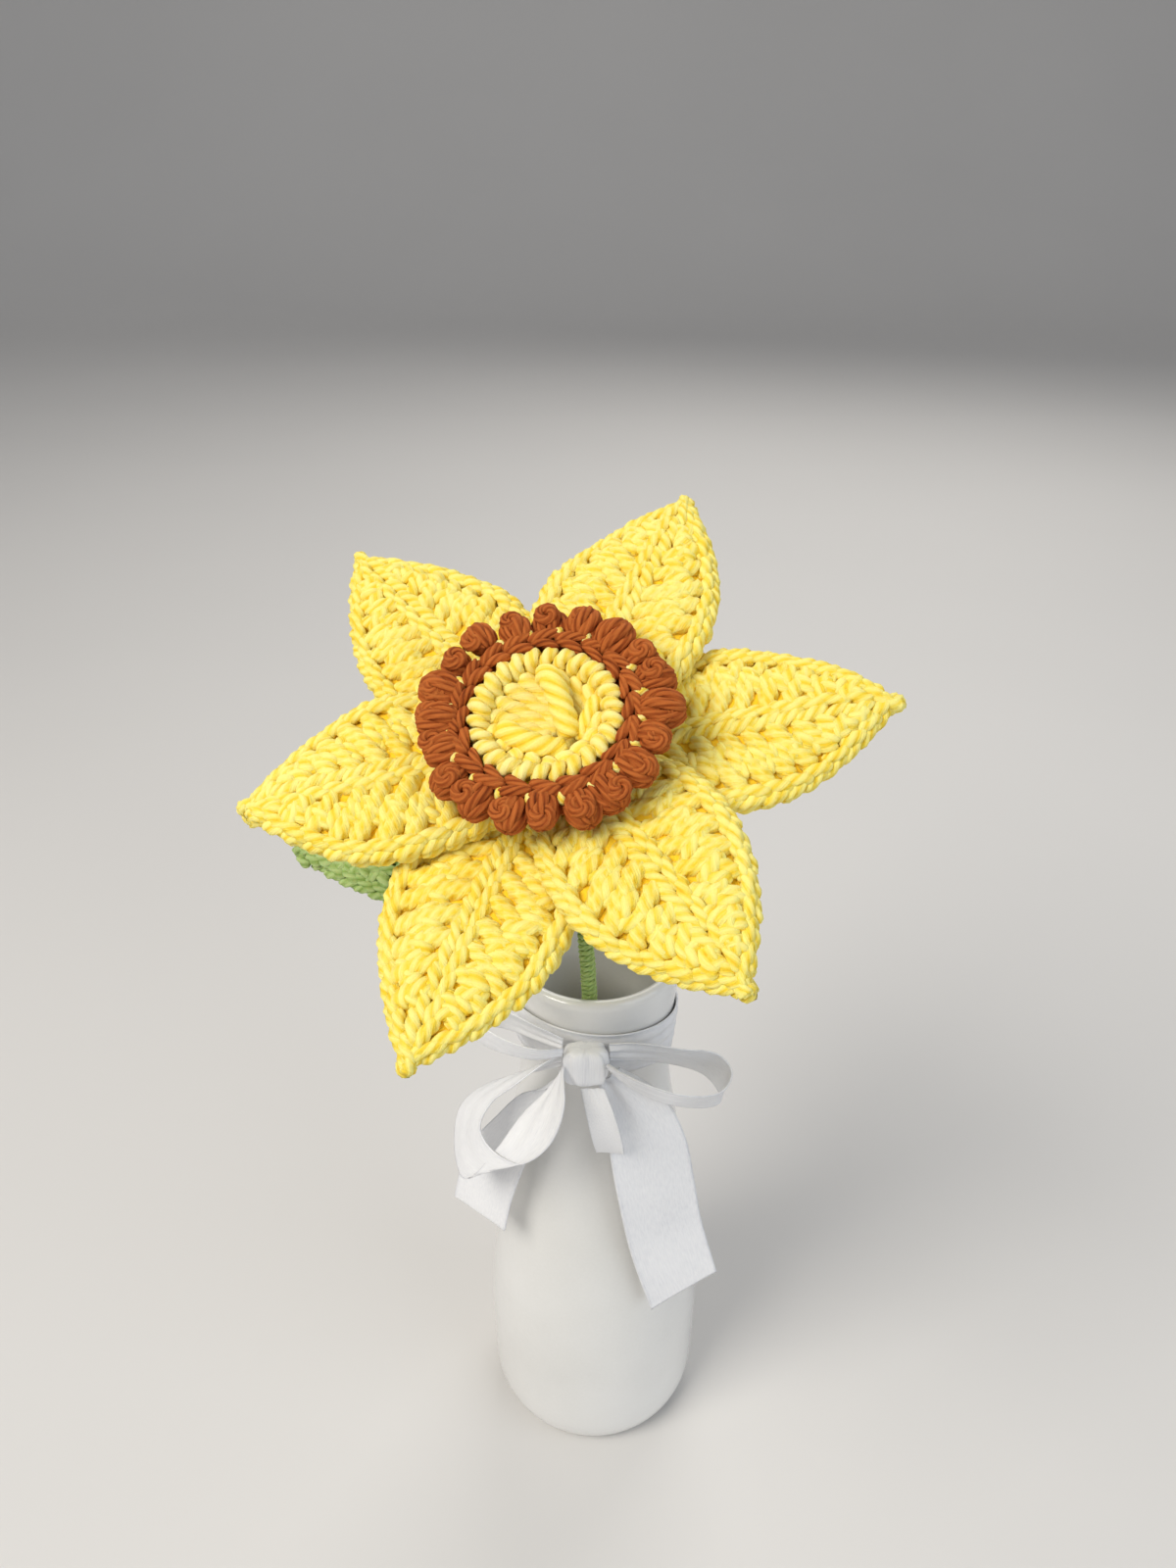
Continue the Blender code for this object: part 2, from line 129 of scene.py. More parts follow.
@dataclass
class Skin:
    """Faces gathered for one piece: corners, loops, face sizes and per-point values."""

    points: list[Array]
    loops: list[Array]
    sizes: list[Array]
    uvs: list[Array]
    ply: list[Array]
    tone: list[Array]

    @classmethod
    def empty(cls) -> "Skin":
        """A skin with nothing in it yet."""
        return cls([], [], [], [], [], [])

    def add(self, points: Array, faces: Array, uvs: Array, ply: Array, tone: Array) -> None:
        """Adds points, and faces that all have the same number of corners.

        Args:
            points: Corners, (N, 3).
            faces: Indices into points, (F, corners).
            uvs: One pair for each face corner, (F, corners, 2).
            ply: Groove depth for each point, 0 in the groove and 1 on the crown, which the yarn
                finishes turn into painted shade and painted highlight.
            tone: Lightness for each point, about 0.5.
        """
        self.points.append(points)
        self.ply.append(ply)
        self.tone.append(tone)
        self._add_faces(faces, uvs)

    def close(self, faces: Array) -> None:
        """Adds faces between the points that were added last, without a place on the UV map."""
        self._add_faces(faces, np.zeros(faces.shape + (2,)))

    def _add_faces(self, faces: Array, uvs: Array) -> None:
        """Adds faces between the points that were added last.

        Args:
            faces: Indices into those points, (F, corners).
            uvs: One pair for each face corner.
        """
        base = sum(len(p) for p in self.points[:-1])
        self.loops.append((faces + base).ravel())
        self.sizes.append(np.full(len(faces), faces.shape[1]))
        self.uvs.append(uvs.reshape(-1, 2))

    def build(self, name: str) -> bpy.types.Object:
        """Makes the object, in metres, smooth, with its UV map and its two attributes.

        Args:
            name: The name of the object and of its mesh.

        Returns:
            The object, linked to the scene.
        """
        points = np.concatenate(self.points) * MM
        loops, sizes = np.concatenate(self.loops), np.concatenate(self.sizes)
        mesh = bpy.data.meshes.new(name)
        mesh.vertices.add(len(points))
        mesh.vertices.foreach_set("co", points.astype(np.float32).ravel())
        mesh.loops.add(len(loops))
        mesh.loops.foreach_set("vertex_index", loops.astype(np.int32))
        mesh.polygons.add(len(sizes))
        starts = np.concatenate([[0], np.cumsum(sizes)[:-1]])
        mesh.polygons.foreach_set("loop_start", starts.astype(np.int32))
        mesh.update(calc_edges=True)
        layer = mesh.uv_layers.new(name="strand")
        layer.data.foreach_set("uv", np.concatenate(self.uvs).astype(np.float32).ravel())
        for label, values in (("ply", self.ply), ("tone", self.tone)):
            attribute = mesh.attributes.new(label, "FLOAT", "POINT")
            attribute.data.foreach_set("value", np.concatenate(values).astype(np.float32))
        mesh.validate()
        mesh.shade_smooth()
        piece = bpy.data.objects.new(name, mesh)
        bpy.context.scene.collection.objects.link(piece)
        return piece


def grid_corners(rows: int, columns: int) -> tuple[Array, Array]:
    """The row and the column of each corner of each quad in a grid.

    Args:
        rows: Quads along the grid.
        columns: Quads across it.

    Returns:
        Two arrays, (rows * columns, 4), whose corners go along first and then across.
    """
    i, j = np.meshgrid(np.arange(rows), np.arange(columns), indexing="ij")
    along = np.stack([i, i + 1, i + 1, i], axis=-1).reshape(-1, 4)
    across = np.stack([j, j, j + 1, j + 1], axis=-1).reshape(-1, 4)
    return along, across


def add_surface(skin: Skin, points: Array, scale: tuple[float, float], wrap: bool) -> None:
    """Adds a surface of two parameters.

    Args:
        skin: What it is added to.
        points: A grid of points, (rows, columns, 3).
        scale: How far the UV map runs along the rows and across the columns.
        wrap: Whether the last column joins the first.
    """
    rows, columns = points.shape[:2]
    width = columns if wrap else columns - 1
    i, j = grid_corners(rows - 1, width)
    uvs = np.stack([i / (rows - 1) * scale[0], j / width * scale[1]], axis=-1)
    middling = np.full(rows * columns, 0.5)
    skin.add(points.reshape(-1, 3), i * columns + j % columns, uvs, middling, middling)


def add_caps(skin: Skin, rows: int, columns: int) -> None:
    """Closes the first and last rings of the surface of rings that was added last."""
    ring = np.arange(columns)
    skin.close(np.stack([ring, (rows - 1) * columns + ring[::-1]]))


@dataclass(frozen=True)
class Yarn:
    """A plied strand.

    Its section is r(a, s) = radius * (1 - groove * (1 - |cos(plies * p / 2)|)), where p is
    the angle a less one whole turn for every twist of length s, so that the grooves
    between its plies wind along it.
    """

    radius: float
    plies: int = 3
    twist: float = 9.0
    groove: float = 0.30
    sides: int = 12
    end_rings: int = 2
    end_share: float = 0.35
    unevenness: float = 0.06
    tone_spread: float = 0.16

    def sweep(
        self,
        skin: Skin,
        lines: Array,
        facing: Array,
        rng: np.random.Generator,
        closed: bool = False,
    ) -> None:
        """Adds strands swept along lines.

        Args:
            skin: What they are added to.
            lines: Middle lines, (strands, points, 3).
            facing: A direction away from the surface at each point, same shape.
            rng: Gives each strand its own phase, size and tone.
            closed: Whether each line's last point leads back to its first.
        """
        strands, count = lines.shape[:2]
        if closed:
            ahead, behind = np.roll(lines, -1, axis=1), np.roll(lines, 1, axis=1)
            tangent = unit(ahead - behind)
        else:
            tangent = unit(np.gradient(lines, axis=1))
        side = unit(np.cross(tangent, facing))
        up = np.cross(side, tangent)
        steps = np.linalg.norm(np.diff(lines, axis=1), axis=2)
        run = np.concatenate([np.zeros((strands, 1)), np.cumsum(steps, axis=1)], axis=1)
        turn = run / self.twist
        if closed:
            whole = np.linalg.norm(lines[:, 0] - lines[:, -1], axis=1) + run[:, -1]
            turns = np.maximum(np.round(whole / self.twist), 1.0)
            turn = run / whole[:, None] * turns[:, None]
        angle = np.arange(self.sides) / self.sides * TURN
        phase = rng.uniform(0, TURN, strands)[:, None, None]
        spun = angle[None, None, :] - TURN * turn[:, :, None] + phase
        crown = np.abs(np.cos(self.plies * spun / 2))
        size = self.radius * (1 + rng.normal(0, self.unevenness, strands))[:, None, None]
        radius = size * (1 - self.groove * (1 - crown))
        if not closed:
            near = np.minimum(np.arange(count), np.arange(count)[::-1]) + self.end_share
            drawn = np.clip(near / (self.end_rings + self.end_share), 0.0, 1.0)
            radius = radius * np.sqrt(1 - (1 - drawn) ** 2)[None, :, None]
        ring = (
            np.cos(angle)[None, None, :, None] * side[:, :, None, :]
            + np.sin(angle)[None, None, :, None] * up[:, :, None, :]
        )
        points = (lines[:, :, None, :] + radius[..., None] * ring).reshape(-1, 3)
        lightness = np.clip(rng.normal(0.5, self.tone_spread, strands), 0, 1)
        tone = np.repeat(lightness, count * self.sides)
        i, j = grid_corners(count if closed else count - 1, self.sides)
        block = (i % count) * self.sides + j % self.sides
        firsts = (np.arange(strands) * count * self.sides)[:, None]
        faces = (block[None] + firsts[..., None]).reshape(-1, 4)
        uvs = self._uvs(self._onward(run), self._onward(turn), phase, i, j)
        # crown also goes out as the ply values, from which the finishes paint shade in the grooves
        # and a highlight on the crowns
        skin.add(points, faces, uvs, crown.ravel(), tone)
        if not closed:
            ring = np.arange(self.sides)
            tails = firsts + (count - 1) * self.sides + ring[::-1]
            skin.close(np.concatenate([firsts + ring, tails]))

    def _onward(self, values: Array) -> Array:
        """Values along each strand with one more step like the last."""
        return np.concatenate([values, 2 * values[:, -1:] - values[:, -2:-1]], axis=1)

    def _uvs(self, run: Array, turn: Array, phase: Array, i: Array, j: Array) -> Array:
        """Places along the strand in centimetres, and round it in turns that follow the twist.

        Args:
            run: Millimetres along each strand at each ring.
            turn: Turns of the twist there.
            phase: Each strand's own turn, which also sets where its fibres start.
            i: The ring of each face corner.
            j: Its place in the ring.

        Returns:
            A pair for each corner of each face of each strand.
        """
        start = phase / TURN
        u = run[:, i] / 10.0 + start * 7.0
        v = j[None] / self.sides - turn[:, i] + start
        return np.stack([u, v], axis=-1).reshape(-1, 4, 2)


# ---------------------------------------------------------------- finishes


class Nodes:
    """Short ways to add and join shader nodes in one material."""

    def __init__(self, name: str) -> None:
        """Starts a material whose Principled shader is joined to its output."""
        self.material = bpy.data.materials.new(name)
        self.material.use_nodes = True
        self.tree = self.material.node_tree
        self.shader = self.tree.nodes["Principled BSDF"]

    def add(self, kind: str, **settings: object) -> bpy.types.Node:
        """A new node with the given properties."""
        node = self.tree.nodes.new(kind)
        for key, value in settings.items():
            setattr(node, key, value)
        return node

    def join(self, source: bpy.types.NodeSocket, target: bpy.types.NodeSocket) -> None:
        """A link from source to target."""
        self.tree.links.new(source, target)

    def noise(self, coords: bpy.types.NodeSocket, scale: float, detail: float) -> bpy.types.Node:
        """A noise texture.

        Args:
            coords: The coordinates it reads.
            scale: Its scale on them.
            detail: How many finer layers it has.

        Returns:
            The node.
        """
        node = self.add("ShaderNodeTexNoise")
        node.inputs["Scale"].default_value = scale
        node.inputs["Detail"].default_value = detail
        self.join(coords, node.inputs["Vector"])
        return node

    def stretched(self, coords: bpy.types.NodeSocket, scale: Span) -> bpy.types.NodeSocket:
        """Coordinates multiplied by a number for each axis.

        Args:
            coords: The coordinates.
            scale: The three numbers.

        Returns:
            The socket that gives them.
        """
        node = self.add("ShaderNodeMapping")
        node.inputs["Scale"].default_value = scale
        self.join(coords, node.inputs["Vector"])
        return node.outputs["Vector"]

    def paint(self, value: bpy.types.NodeSocket, stops: list[tuple[float, Span]]) -> None:
        """Gives the shader its base colour from a value, through a ramp.

        Args:
            value: What the ramp reads.
            stops: Its places and colours, in order.
        """
        node = self.add("ShaderNodeValToRGB")
        elements = node.color_ramp.elements
        while len(elements) < len(stops):
            elements.new(0.5)
        for element, (place, colour) in zip(elements, stops):
            element.position = place
            element.color = (*colour, 1.0)
        self.join(value, node.inputs["Fac"])
        self.join(node.outputs["Color"], self.shader.inputs["Base Color"])

    def sum(self, terms: list[tuple[bpy.types.NodeSocket, float]]) -> bpy.types.NodeSocket:
        """A weighted sum.

        Args:
            terms: Each value with its weight.

        Returns:
            The socket that gives the sum of each value times its weight.
        """
        total = None
        for value, weight in terms:
            node = self.add("ShaderNodeMath", operation="MULTIPLY_ADD")
            self.join(value, node.inputs[0])
            node.inputs[1].default_value = weight
            if total is None:
                node.inputs[2].default_value = 0.0
            else:
                self.join(total, node.inputs[2])
            total = node.outputs[0]
        return total

    def bump(self, height: bpy.types.NodeSocket, strength: float, distance: float) -> None:
        """Joins a bump to the shader's normal.

        Args:
            height: What raises the surface.
            strength: How much of the bump counts.
            distance: How far a height of one stands out, in metres.
        """
        node = self.add("ShaderNodeBump")
        node.inputs["Strength"].default_value = strength
        node.inputs["Distance"].default_value = distance
        self.join(height, node.inputs["Height"])
        self.join(node.outputs["Normal"], self.shader.inputs["Normal"])

    def set(self, **values: object) -> None:
        """Sets the shader's own sockets, named with underscores for spaces."""
        for key, value in values.items():
            self.shader.inputs[key.replace("_", " ")].default_value = value


@dataclass(frozen=True)
class YarnFinish:
    """Soft plied yarn with fine fibres: painted shade deep in the grooves and a painted highlight
    pale on the crowns.
    """

    name: str
    # the colour of the painted shade in the grooves
    deep: Span
    body: Span
    # the colour of the painted highlight on the crowns, also the sheen's tint
    pale: Span
    sheen: float = 0.35

    def make(self) -> bpy.types.Material:
        """The material: colour from groove depth, painted as shade in the grooves and as highlight
        on the crowns, with strand tone and fibres along the strand.
        """
        n = Nodes(self.name)
        ply = n.add("ShaderNodeAttribute", attribute_name="ply").outputs["Fac"]
        tone = n.add("ShaderNodeAttribute", attribute_name="tone").outputs["Fac"]
        strand = n.add("ShaderNodeUVMap", uv_map="strand").outputs["UV"]
        place = n.add("ShaderNodeTexCoord").outputs["Object"]
        fibre = n.noise(n.stretched(strand, (5.0, 26.0, 1.0)), 1.0, 4.0).outputs["Fac"]
        patch = n.noise(place, 95.0, 2.0).outputs["Fac"]
        fluff = n.noise(place, 2600.0, 3.0).outputs["Fac"]
        mixed = n.sum([(ply, 0.52), (tone, 0.24), (fibre, 0.46), (patch, 0.22), (fluff, 0.10)])
        # groove depth paints shade into the grooves and a highlight onto the crowns
        n.paint(mixed, [(0.34, self.deep), (0.66, self.body), (1.0, self.pale)])
        n.bump(n.sum([(fibre, 0.75), (fluff, 0.35)]), 0.75, 0.0004)
        n.set(Roughness=0.88, Sheen_Weight=self.sheen, Sheen_Roughness=0.45)
        n.set(Sheen_Tint=(*self.pale, 1.0), Specular_IOR_Level=0.22)
        n.set(Subsurface_Weight=0.08, Subsurface_Scale=0.0012)
        return n.material


@dataclass(frozen=True)
class GlazeFinish:
    """White glaze on ceramic: glossy, very slightly wavy, a little warmer in places."""

    name: str = "glazed_ceramic"
    warm: Span = (0.70, 0.69, 0.655)
    body: Span = (0.78, 0.77, 0.74)
    bright: Span = (0.82, 0.815, 0.79)

    def make(self) -> bpy.types.Material:
        """The material: two whites mixed by broad noise, a coat, and a shallow orange peel."""
        n = Nodes(self.name)
        place = n.add("ShaderNodeTexCoord").outputs["Object"]
        broad = n.noise(place, 18.0, 3.0).outputs["Fac"]
        peel = n.noise(place, 260.0, 2.0).outputs["Fac"]
        specks = n.noise(place, 1500.0, 2.0).outputs["Fac"]
        n.paint(
            n.sum([(broad, 0.9), (specks, 0.12)]),
            [(0.30, self.warm), (0.55, self.body), (0.80, self.bright)],
        )
        rough = n.add("ShaderNodeMapRange")
        rough.inputs["To Min"].default_value = 0.16
        rough.inputs["To Max"].default_value = 0.30
        n.join(broad, rough.inputs["Value"])
        n.join(rough.outputs["Result"], n.shader.inputs["Roughness"])
        n.bump(n.sum([(peel, 0.6), (broad, 1.6)]), 0.10, 0.0006)
        n.set(Coat_Weight=0.5, Coat_Roughness=0.08, Specular_IOR_Level=0.5)
        return n.material


@dataclass(frozen=True)
class SatinFinish:
    """White satin: a bright soft weave with firm edges."""

    name: str = "satin_ribbon"
    shade: Span = (0.62, 0.62, 0.65)
    body: Span = (0.80, 0.80, 0.81)
    bright: Span = (0.90, 0.895, 0.89)

    def make(self) -> bpy.types.Material:
        """The material: fine threads across the ribbon, long floats along it, woven edges."""
        n = Nodes(self.name)
        cloth = n.add("ShaderNodeUVMap", uv_map="strand").outputs["UV"]
        place = n.add("ShaderNodeTexCoord").outputs["Object"]
        split = n.add("ShaderNodeSeparateXYZ")
        n.join(cloth, split.inputs["Vector"])
        threads = n.add("ShaderNodeTexWave", bands_direction="X")
        threads.inputs["Scale"].default_value = 7.0
        threads.inputs["Distortion"].default_value = 0.6
        n.join(cloth, threads.inputs["Vector"])
        floats = n.noise(n.stretched(cloth, (3.0, 42.0, 1.0)), 1.0, 3.0).outputs["Fac"]
        cloud = n.noise(place, 70.0, 2.0).outputs["Fac"]
        edge = n.add("ShaderNodeMath", operation="PINGPONG")
        edge.inputs[1].default_value = 0.5
        n.join(split.outputs["Y"], edge.inputs[0])
        hem = n.add("ShaderNodeMapRange", interpolation_type="SMOOTHSTEP")
        hem.inputs["From Min"].default_value = 0.02
        hem.inputs["From Max"].default_value = 0.06
        n.join(edge.outputs[0], hem.inputs["Value"])
        mixed = n.sum([(floats, 0.55), (cloud, 0.35), (hem.outputs["Result"], 0.12)])
        n.paint(mixed, [(0.25, self.shade), (0.50, self.body), (0.78, self.bright)])
        thread = threads.outputs["Fac"]
        height = n.sum([(thread, 0.25), (floats, 0.6), (hem.outputs["Result"], -0.8)])
        n.bump(height, 0.35, 0.0002)
        n.set(Roughness=0.34, Anisotropic=0.55, Sheen_Weight=0.35, Sheen_Roughness=0.3)
        n.set(Specular_IOR_Level=0.5)
        return n.material


@dataclass(frozen=True)
class WireFinish:
    """Drawn steel wire, with faint marks along it."""

    name: str = "steel_wire"
    dull: Span = (0.30, 0.30, 0.30)
    bright: Span = (0.52, 0.52, 0.51)

    def make(self) -> bpy.types.Material:
        """The material: two greys and a roughness, both from noise drawn out in height."""
        n = Nodes(self.name)
        place = n.add("ShaderNodeTexCoord").outputs["Object"]
        drawn = n.noise(n.stretched(place, (900.0, 900.0, 40.0)), 1.0, 3.0).outputs["Fac"]
        n.paint(drawn, [(0.3, self.dull), (0.7, self.bright)])
        n.bump(drawn, 0.2, 0.0001)
        n.set(Metallic=1.0, Roughness=0.34)
        return n.material


@dataclass(frozen=True)
class PlainFinish:
    """A matt stage surface of one pale colour with the faintest mottling."""

    name: str
    colour: Span

    def make(self) -> bpy.types.Material:
        """The material: the colour, a little darker and lighter in broad patches."""
        n = Nodes(self.name)
        place = n.add("ShaderNodeTexCoord").outputs["Object"]
        cloud = n.noise(place, 3.0, 2.0).outputs["Fac"]
        darker = tuple(c * 0.97 for c in self.colour)
        n.paint(cloud, [(0.3, darker), (0.7, self.colour)])
        n.set(Roughness=0.6)
        return n.material


# In each yarn below the first colour is painted shade for the grooves and the last a painted
# highlight for the crowns; the middle one is the yarn's own colour.
YELLOW = YarnFinish(
    "yellow_yarn", (0.84, 0.42, 0.006), (0.94, 0.67, 0.050), (0.98, 0.84, 0.24), 0.2
)
CREAM = YarnFinish(
    "cream_yellow_yarn", (0.88, 0.52, 0.012), (0.94, 0.69, 0.08), (0.97, 0.83, 0.28), 0.2
)
# A darker yellow for the petals' bodies: painted shade that shows between the strands.
YELLOW_GAP_SHADE = YarnFinish("yellow_gap_shade_yarn", (0.84, 0.44, 0.008), (0.91, 0.57, 0.020), (0.94, 0.66, 0.05), 0.1)
RUST = YarnFinish(
    "rust_yarn", (0.055, 0.010, 0.002), (0.27, 0.052, 0.006), (0.50, 0.135, 0.026), 0.12
)
GREEN = YarnFinish("green_yarn", (0.09, 0.15, 0.02), (0.26, 0.38, 0.09), (0.44, 0.56, 0.22), 0.3)
# A darker green for the leaf's body: painted shade that shows between the strands.
GREEN_GAP_SHADE = YarnFinish(
    "green_gap_shade_yarn", (0.06, 0.10, 0.012), (0.14, 0.22, 0.04), (0.2, 0.3, 0.08)
)


class Slot(Enum):
    """The record's material slots."""

    CERAMIC = "glazed_ceramic"
    YELLOW = "yellow_yarn"
    RUST = "rust_yarn"
    GREEN = "green_yarn"
    RIBBON = "satin_ribbon"
    WIRE = "steel_wire"


def place_piece(
    skin: Skin, name: str, finish: bpy.types.Material, slot: Slot, *nodes: str
) -> bpy.types.Object:
    """Makes a piece, dresses it, sets it on the root body and hides the frame's nodes that it
    replaces.

    Args:
        skin: Its faces.
        name: The piece's name.
        finish: Its material.
        slot: The record's slot for its finish. It is not used.
        nodes: The frame's nodes that it replaces.

    Returns:
        The finished piece, riding on the root body.
    """
    piece = skin.build(name)
    piece.data.materials.append(finish)
    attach(piece, "root")
    if nodes:
        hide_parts(*nodes)
    log.info("%s: %d faces", name, len(piece.data.polygons))
    return piece


# ---------------------------------------------------------------- crocheted blades


@dataclass(frozen=True)
class HeadFrame:
    """Where the flower head is and which way it faces."""

    centre: Span = (-7.0, -24.5, 204.0)
    axis: Span = (-0.10, -0.49, 0.866)

    def matrix(self) -> tuple[Array, Array]:
        """The head's middle, and its right, up and forward directions as rows."""
        forward = unit(np.array(self.axis))
        right = np.array([1.0, 0.0, 0.0])
        right = unit(right - forward * (right @ forward))
        return np.array(self.centre), np.stack([right, np.cross(forward, right), forward])

    def world(self, local: Array) -> Array:
        """Points given as right, up and forward of the head's middle, in the frame."""
        middle, axes = self.matrix()
        return middle + local @ axes

    def polar(self, degrees: Array, out: Array, height: Array) -> Array:
        """Points round the head's axis, from arrays that broadcast together.

        Args:
            degrees: The turn about the axis.
            out: The distance from it.
            height: The height along it.

        Returns:
            The points in the frame.
        """
        return self.beside(degrees, out, 0.0, height)

    def beside(self, degrees: Array, out: Array, across: Array, height: Array) -> Array:
        """Points round the head's axis and off to the side of the line out from it.

        Args:
            degrees: The turn about the axis.
            out: The distance from it.
            across: The distance to the left of the line out.
            height: The height along the axis.

        Returns:
            The points in the frame.
        """
        turn = np.radians(degrees)
        x = np.cos(turn) * out - np.sin(turn) * across
        y = np.sin(turn) * out + np.cos(turn) * across
        return self.world(np.stack(np.broadcast_arrays(x, y, height), axis=-1))

    def forward(self, like: Array) -> Array:
        """The head's forward direction, repeated for every point of an array."""
        return np.broadcast_to(self.matrix()[1][2], like.shape)


HEAD = HeadFrame()
NEAR_AXIS = 0.02


def add_turned(skin: Skin, out: Array, height: Array, around: int = 48) -> None:
    """Adds a closed body turned about the head's axis.

    Args:
        skin: What it is added to.
        out: Distances from the axis along the profile, which starts and ends near it.
        height: Heights along the axis, as many.
        around: Points in each ring; they run clockwise, so that the skin faces out.
    """
    turns = -np.arange(around) * 360.0 / around
    points = HEAD.polar(turns[None, :], np.maximum(out, NEAR_AXIS)[:, None], height[:, None])
    add_surface(skin, points, (4.0, 8.0), wrap=True)
    add_caps(skin, len(out), around)


@dataclass(frozen=True)
class Blade:
    """A leaf-shaped surface.

    At share v along it and share a across it (-1 to 1), a point is out along the blade by
    start + length * v, across by a times the half width, and up by the layer's height
    plus arch * sin(pi v), less droop * a^2 past the middle, plus the tip's lift.
    """

    turned: float = 0.0
    reach: float = 0.0
    layer: float = 0.0
    lift: float = 0.0
    twist: float = 0.0
    start: float = 6.0
    half_width: float = 15.6
    widest: float = 0.44
    arch: float = 3.2
    droop: float = 2.6
    tip_half_width: float = 1.3

    @property
    def length(self) -> float:
        """From where it starts to its tip."""
        return self.reach - self.start

    def half(self, v: Array) -> Array:
        """The half width: broad as far as the widest place, then drawn to the tip.

        Args:
            v: Shares along the blade.

        Returns:
            The half widths there, in millimetres.
        """
        before = 1 - 0.44 * (np.maximum(self.widest - v, 0) / self.widest) ** 2
        after = 1 - (np.maximum(v - self.widest, 0) / (1 - self.widest)) ** 1.9
        return np.maximum(self.half_width * np.minimum(before, after), self.tip_half_width)

    def point(self, v: Array, across: Array) -> Array:
        """Points of the middle surface.

        Args:
            v: Shares along the blade.
            across: Shares across it, from -1 to 1.

        Returns:
            The points in the frame.
        """
        half = self.half(v)
        height = self.layer + self.arch * np.sin(math.pi * np.clip(v, 0, 1))
        height = height - self.droop * across**2 * rise(v, 0.42, 0.75) * half / self.half_width
        height = height + self.lift * rise(v, 0.5, 1.0) + self.twist * across * rise(v, 0.35, 0.8)
        return HEAD.beside(self.turned, self.start + self.length * v, across * half, height)

    def normal(self, v: Array, across: Array) -> Array:
        """Directions away from the front of the surface, from small steps on it.

        Args:
            v: Shares along the blade.
            across: Shares across it, from -1 to 1.

        Returns:
            Unit vectors.
        """
        step = 0.01
        along = self.point(np.minimum(v + step, 1), across)
        along = along - self.point(np.maximum(v - step, 0), across)
        side = self.point(v, across + step) - self.point(v, across - step)
        return unit(np.cross(along, side))


@dataclass(frozen=True)
class LeafBlade(Blade):
    """A blade along a middle line of its own, behind the flower."""

    line: tuple = (
        (-4.6, -12.6, 160.7),
        (-12.0, -12.8, 163.5),
        (-23.0, -11.6, 167.0),
        (-35.0, -9.5, 169.5),
        (-46.0, -7.0, 170.5),
        (-54.0, -5.0, 170.8),
        (-59.0, -4.0, 170.8),
    )
    halves: tuple = (2.0, 4.6, 7.0, 7.4, 5.6, 3.0, 0.9)
    face: Span = (0.10, -0.62, 0.78)
    fall: float = 1.6

    @property
    def length(self) -> float:
        """The length of the middle line."""
        return float(np.linalg.norm(np.diff(np.array(self.line), axis=0), axis=1).sum())

    def half(self, v: Array) -> Array:
        """The half widths at shares v, read from a smooth line through the given ones."""
        return smooth(np.array(self.halves)[:, None], v)[..., 0]

    def point(self, v: Array, across: Array) -> Array:
        """Points either side of the middle line, with both sides fallen a little.

        Args:
            v: Shares along the blade.
            across: Shares across it, from -1 to 1.

        Returns:
            The points in the frame.
        """
        line, face = np.array(self.line), unit(np.array(self.face))
        middle = smooth(line, v)
        ahead = smooth(line, np.minimum(v + 0.02, 1)) - smooth(line, np.maximum(v - 0.02, 0))
        side = unit(np.cross(face, ahead))
        offset = side * (across * self.half(v))[..., None]
        return middle + offset - face * (self.fall * across**2)[..., None]


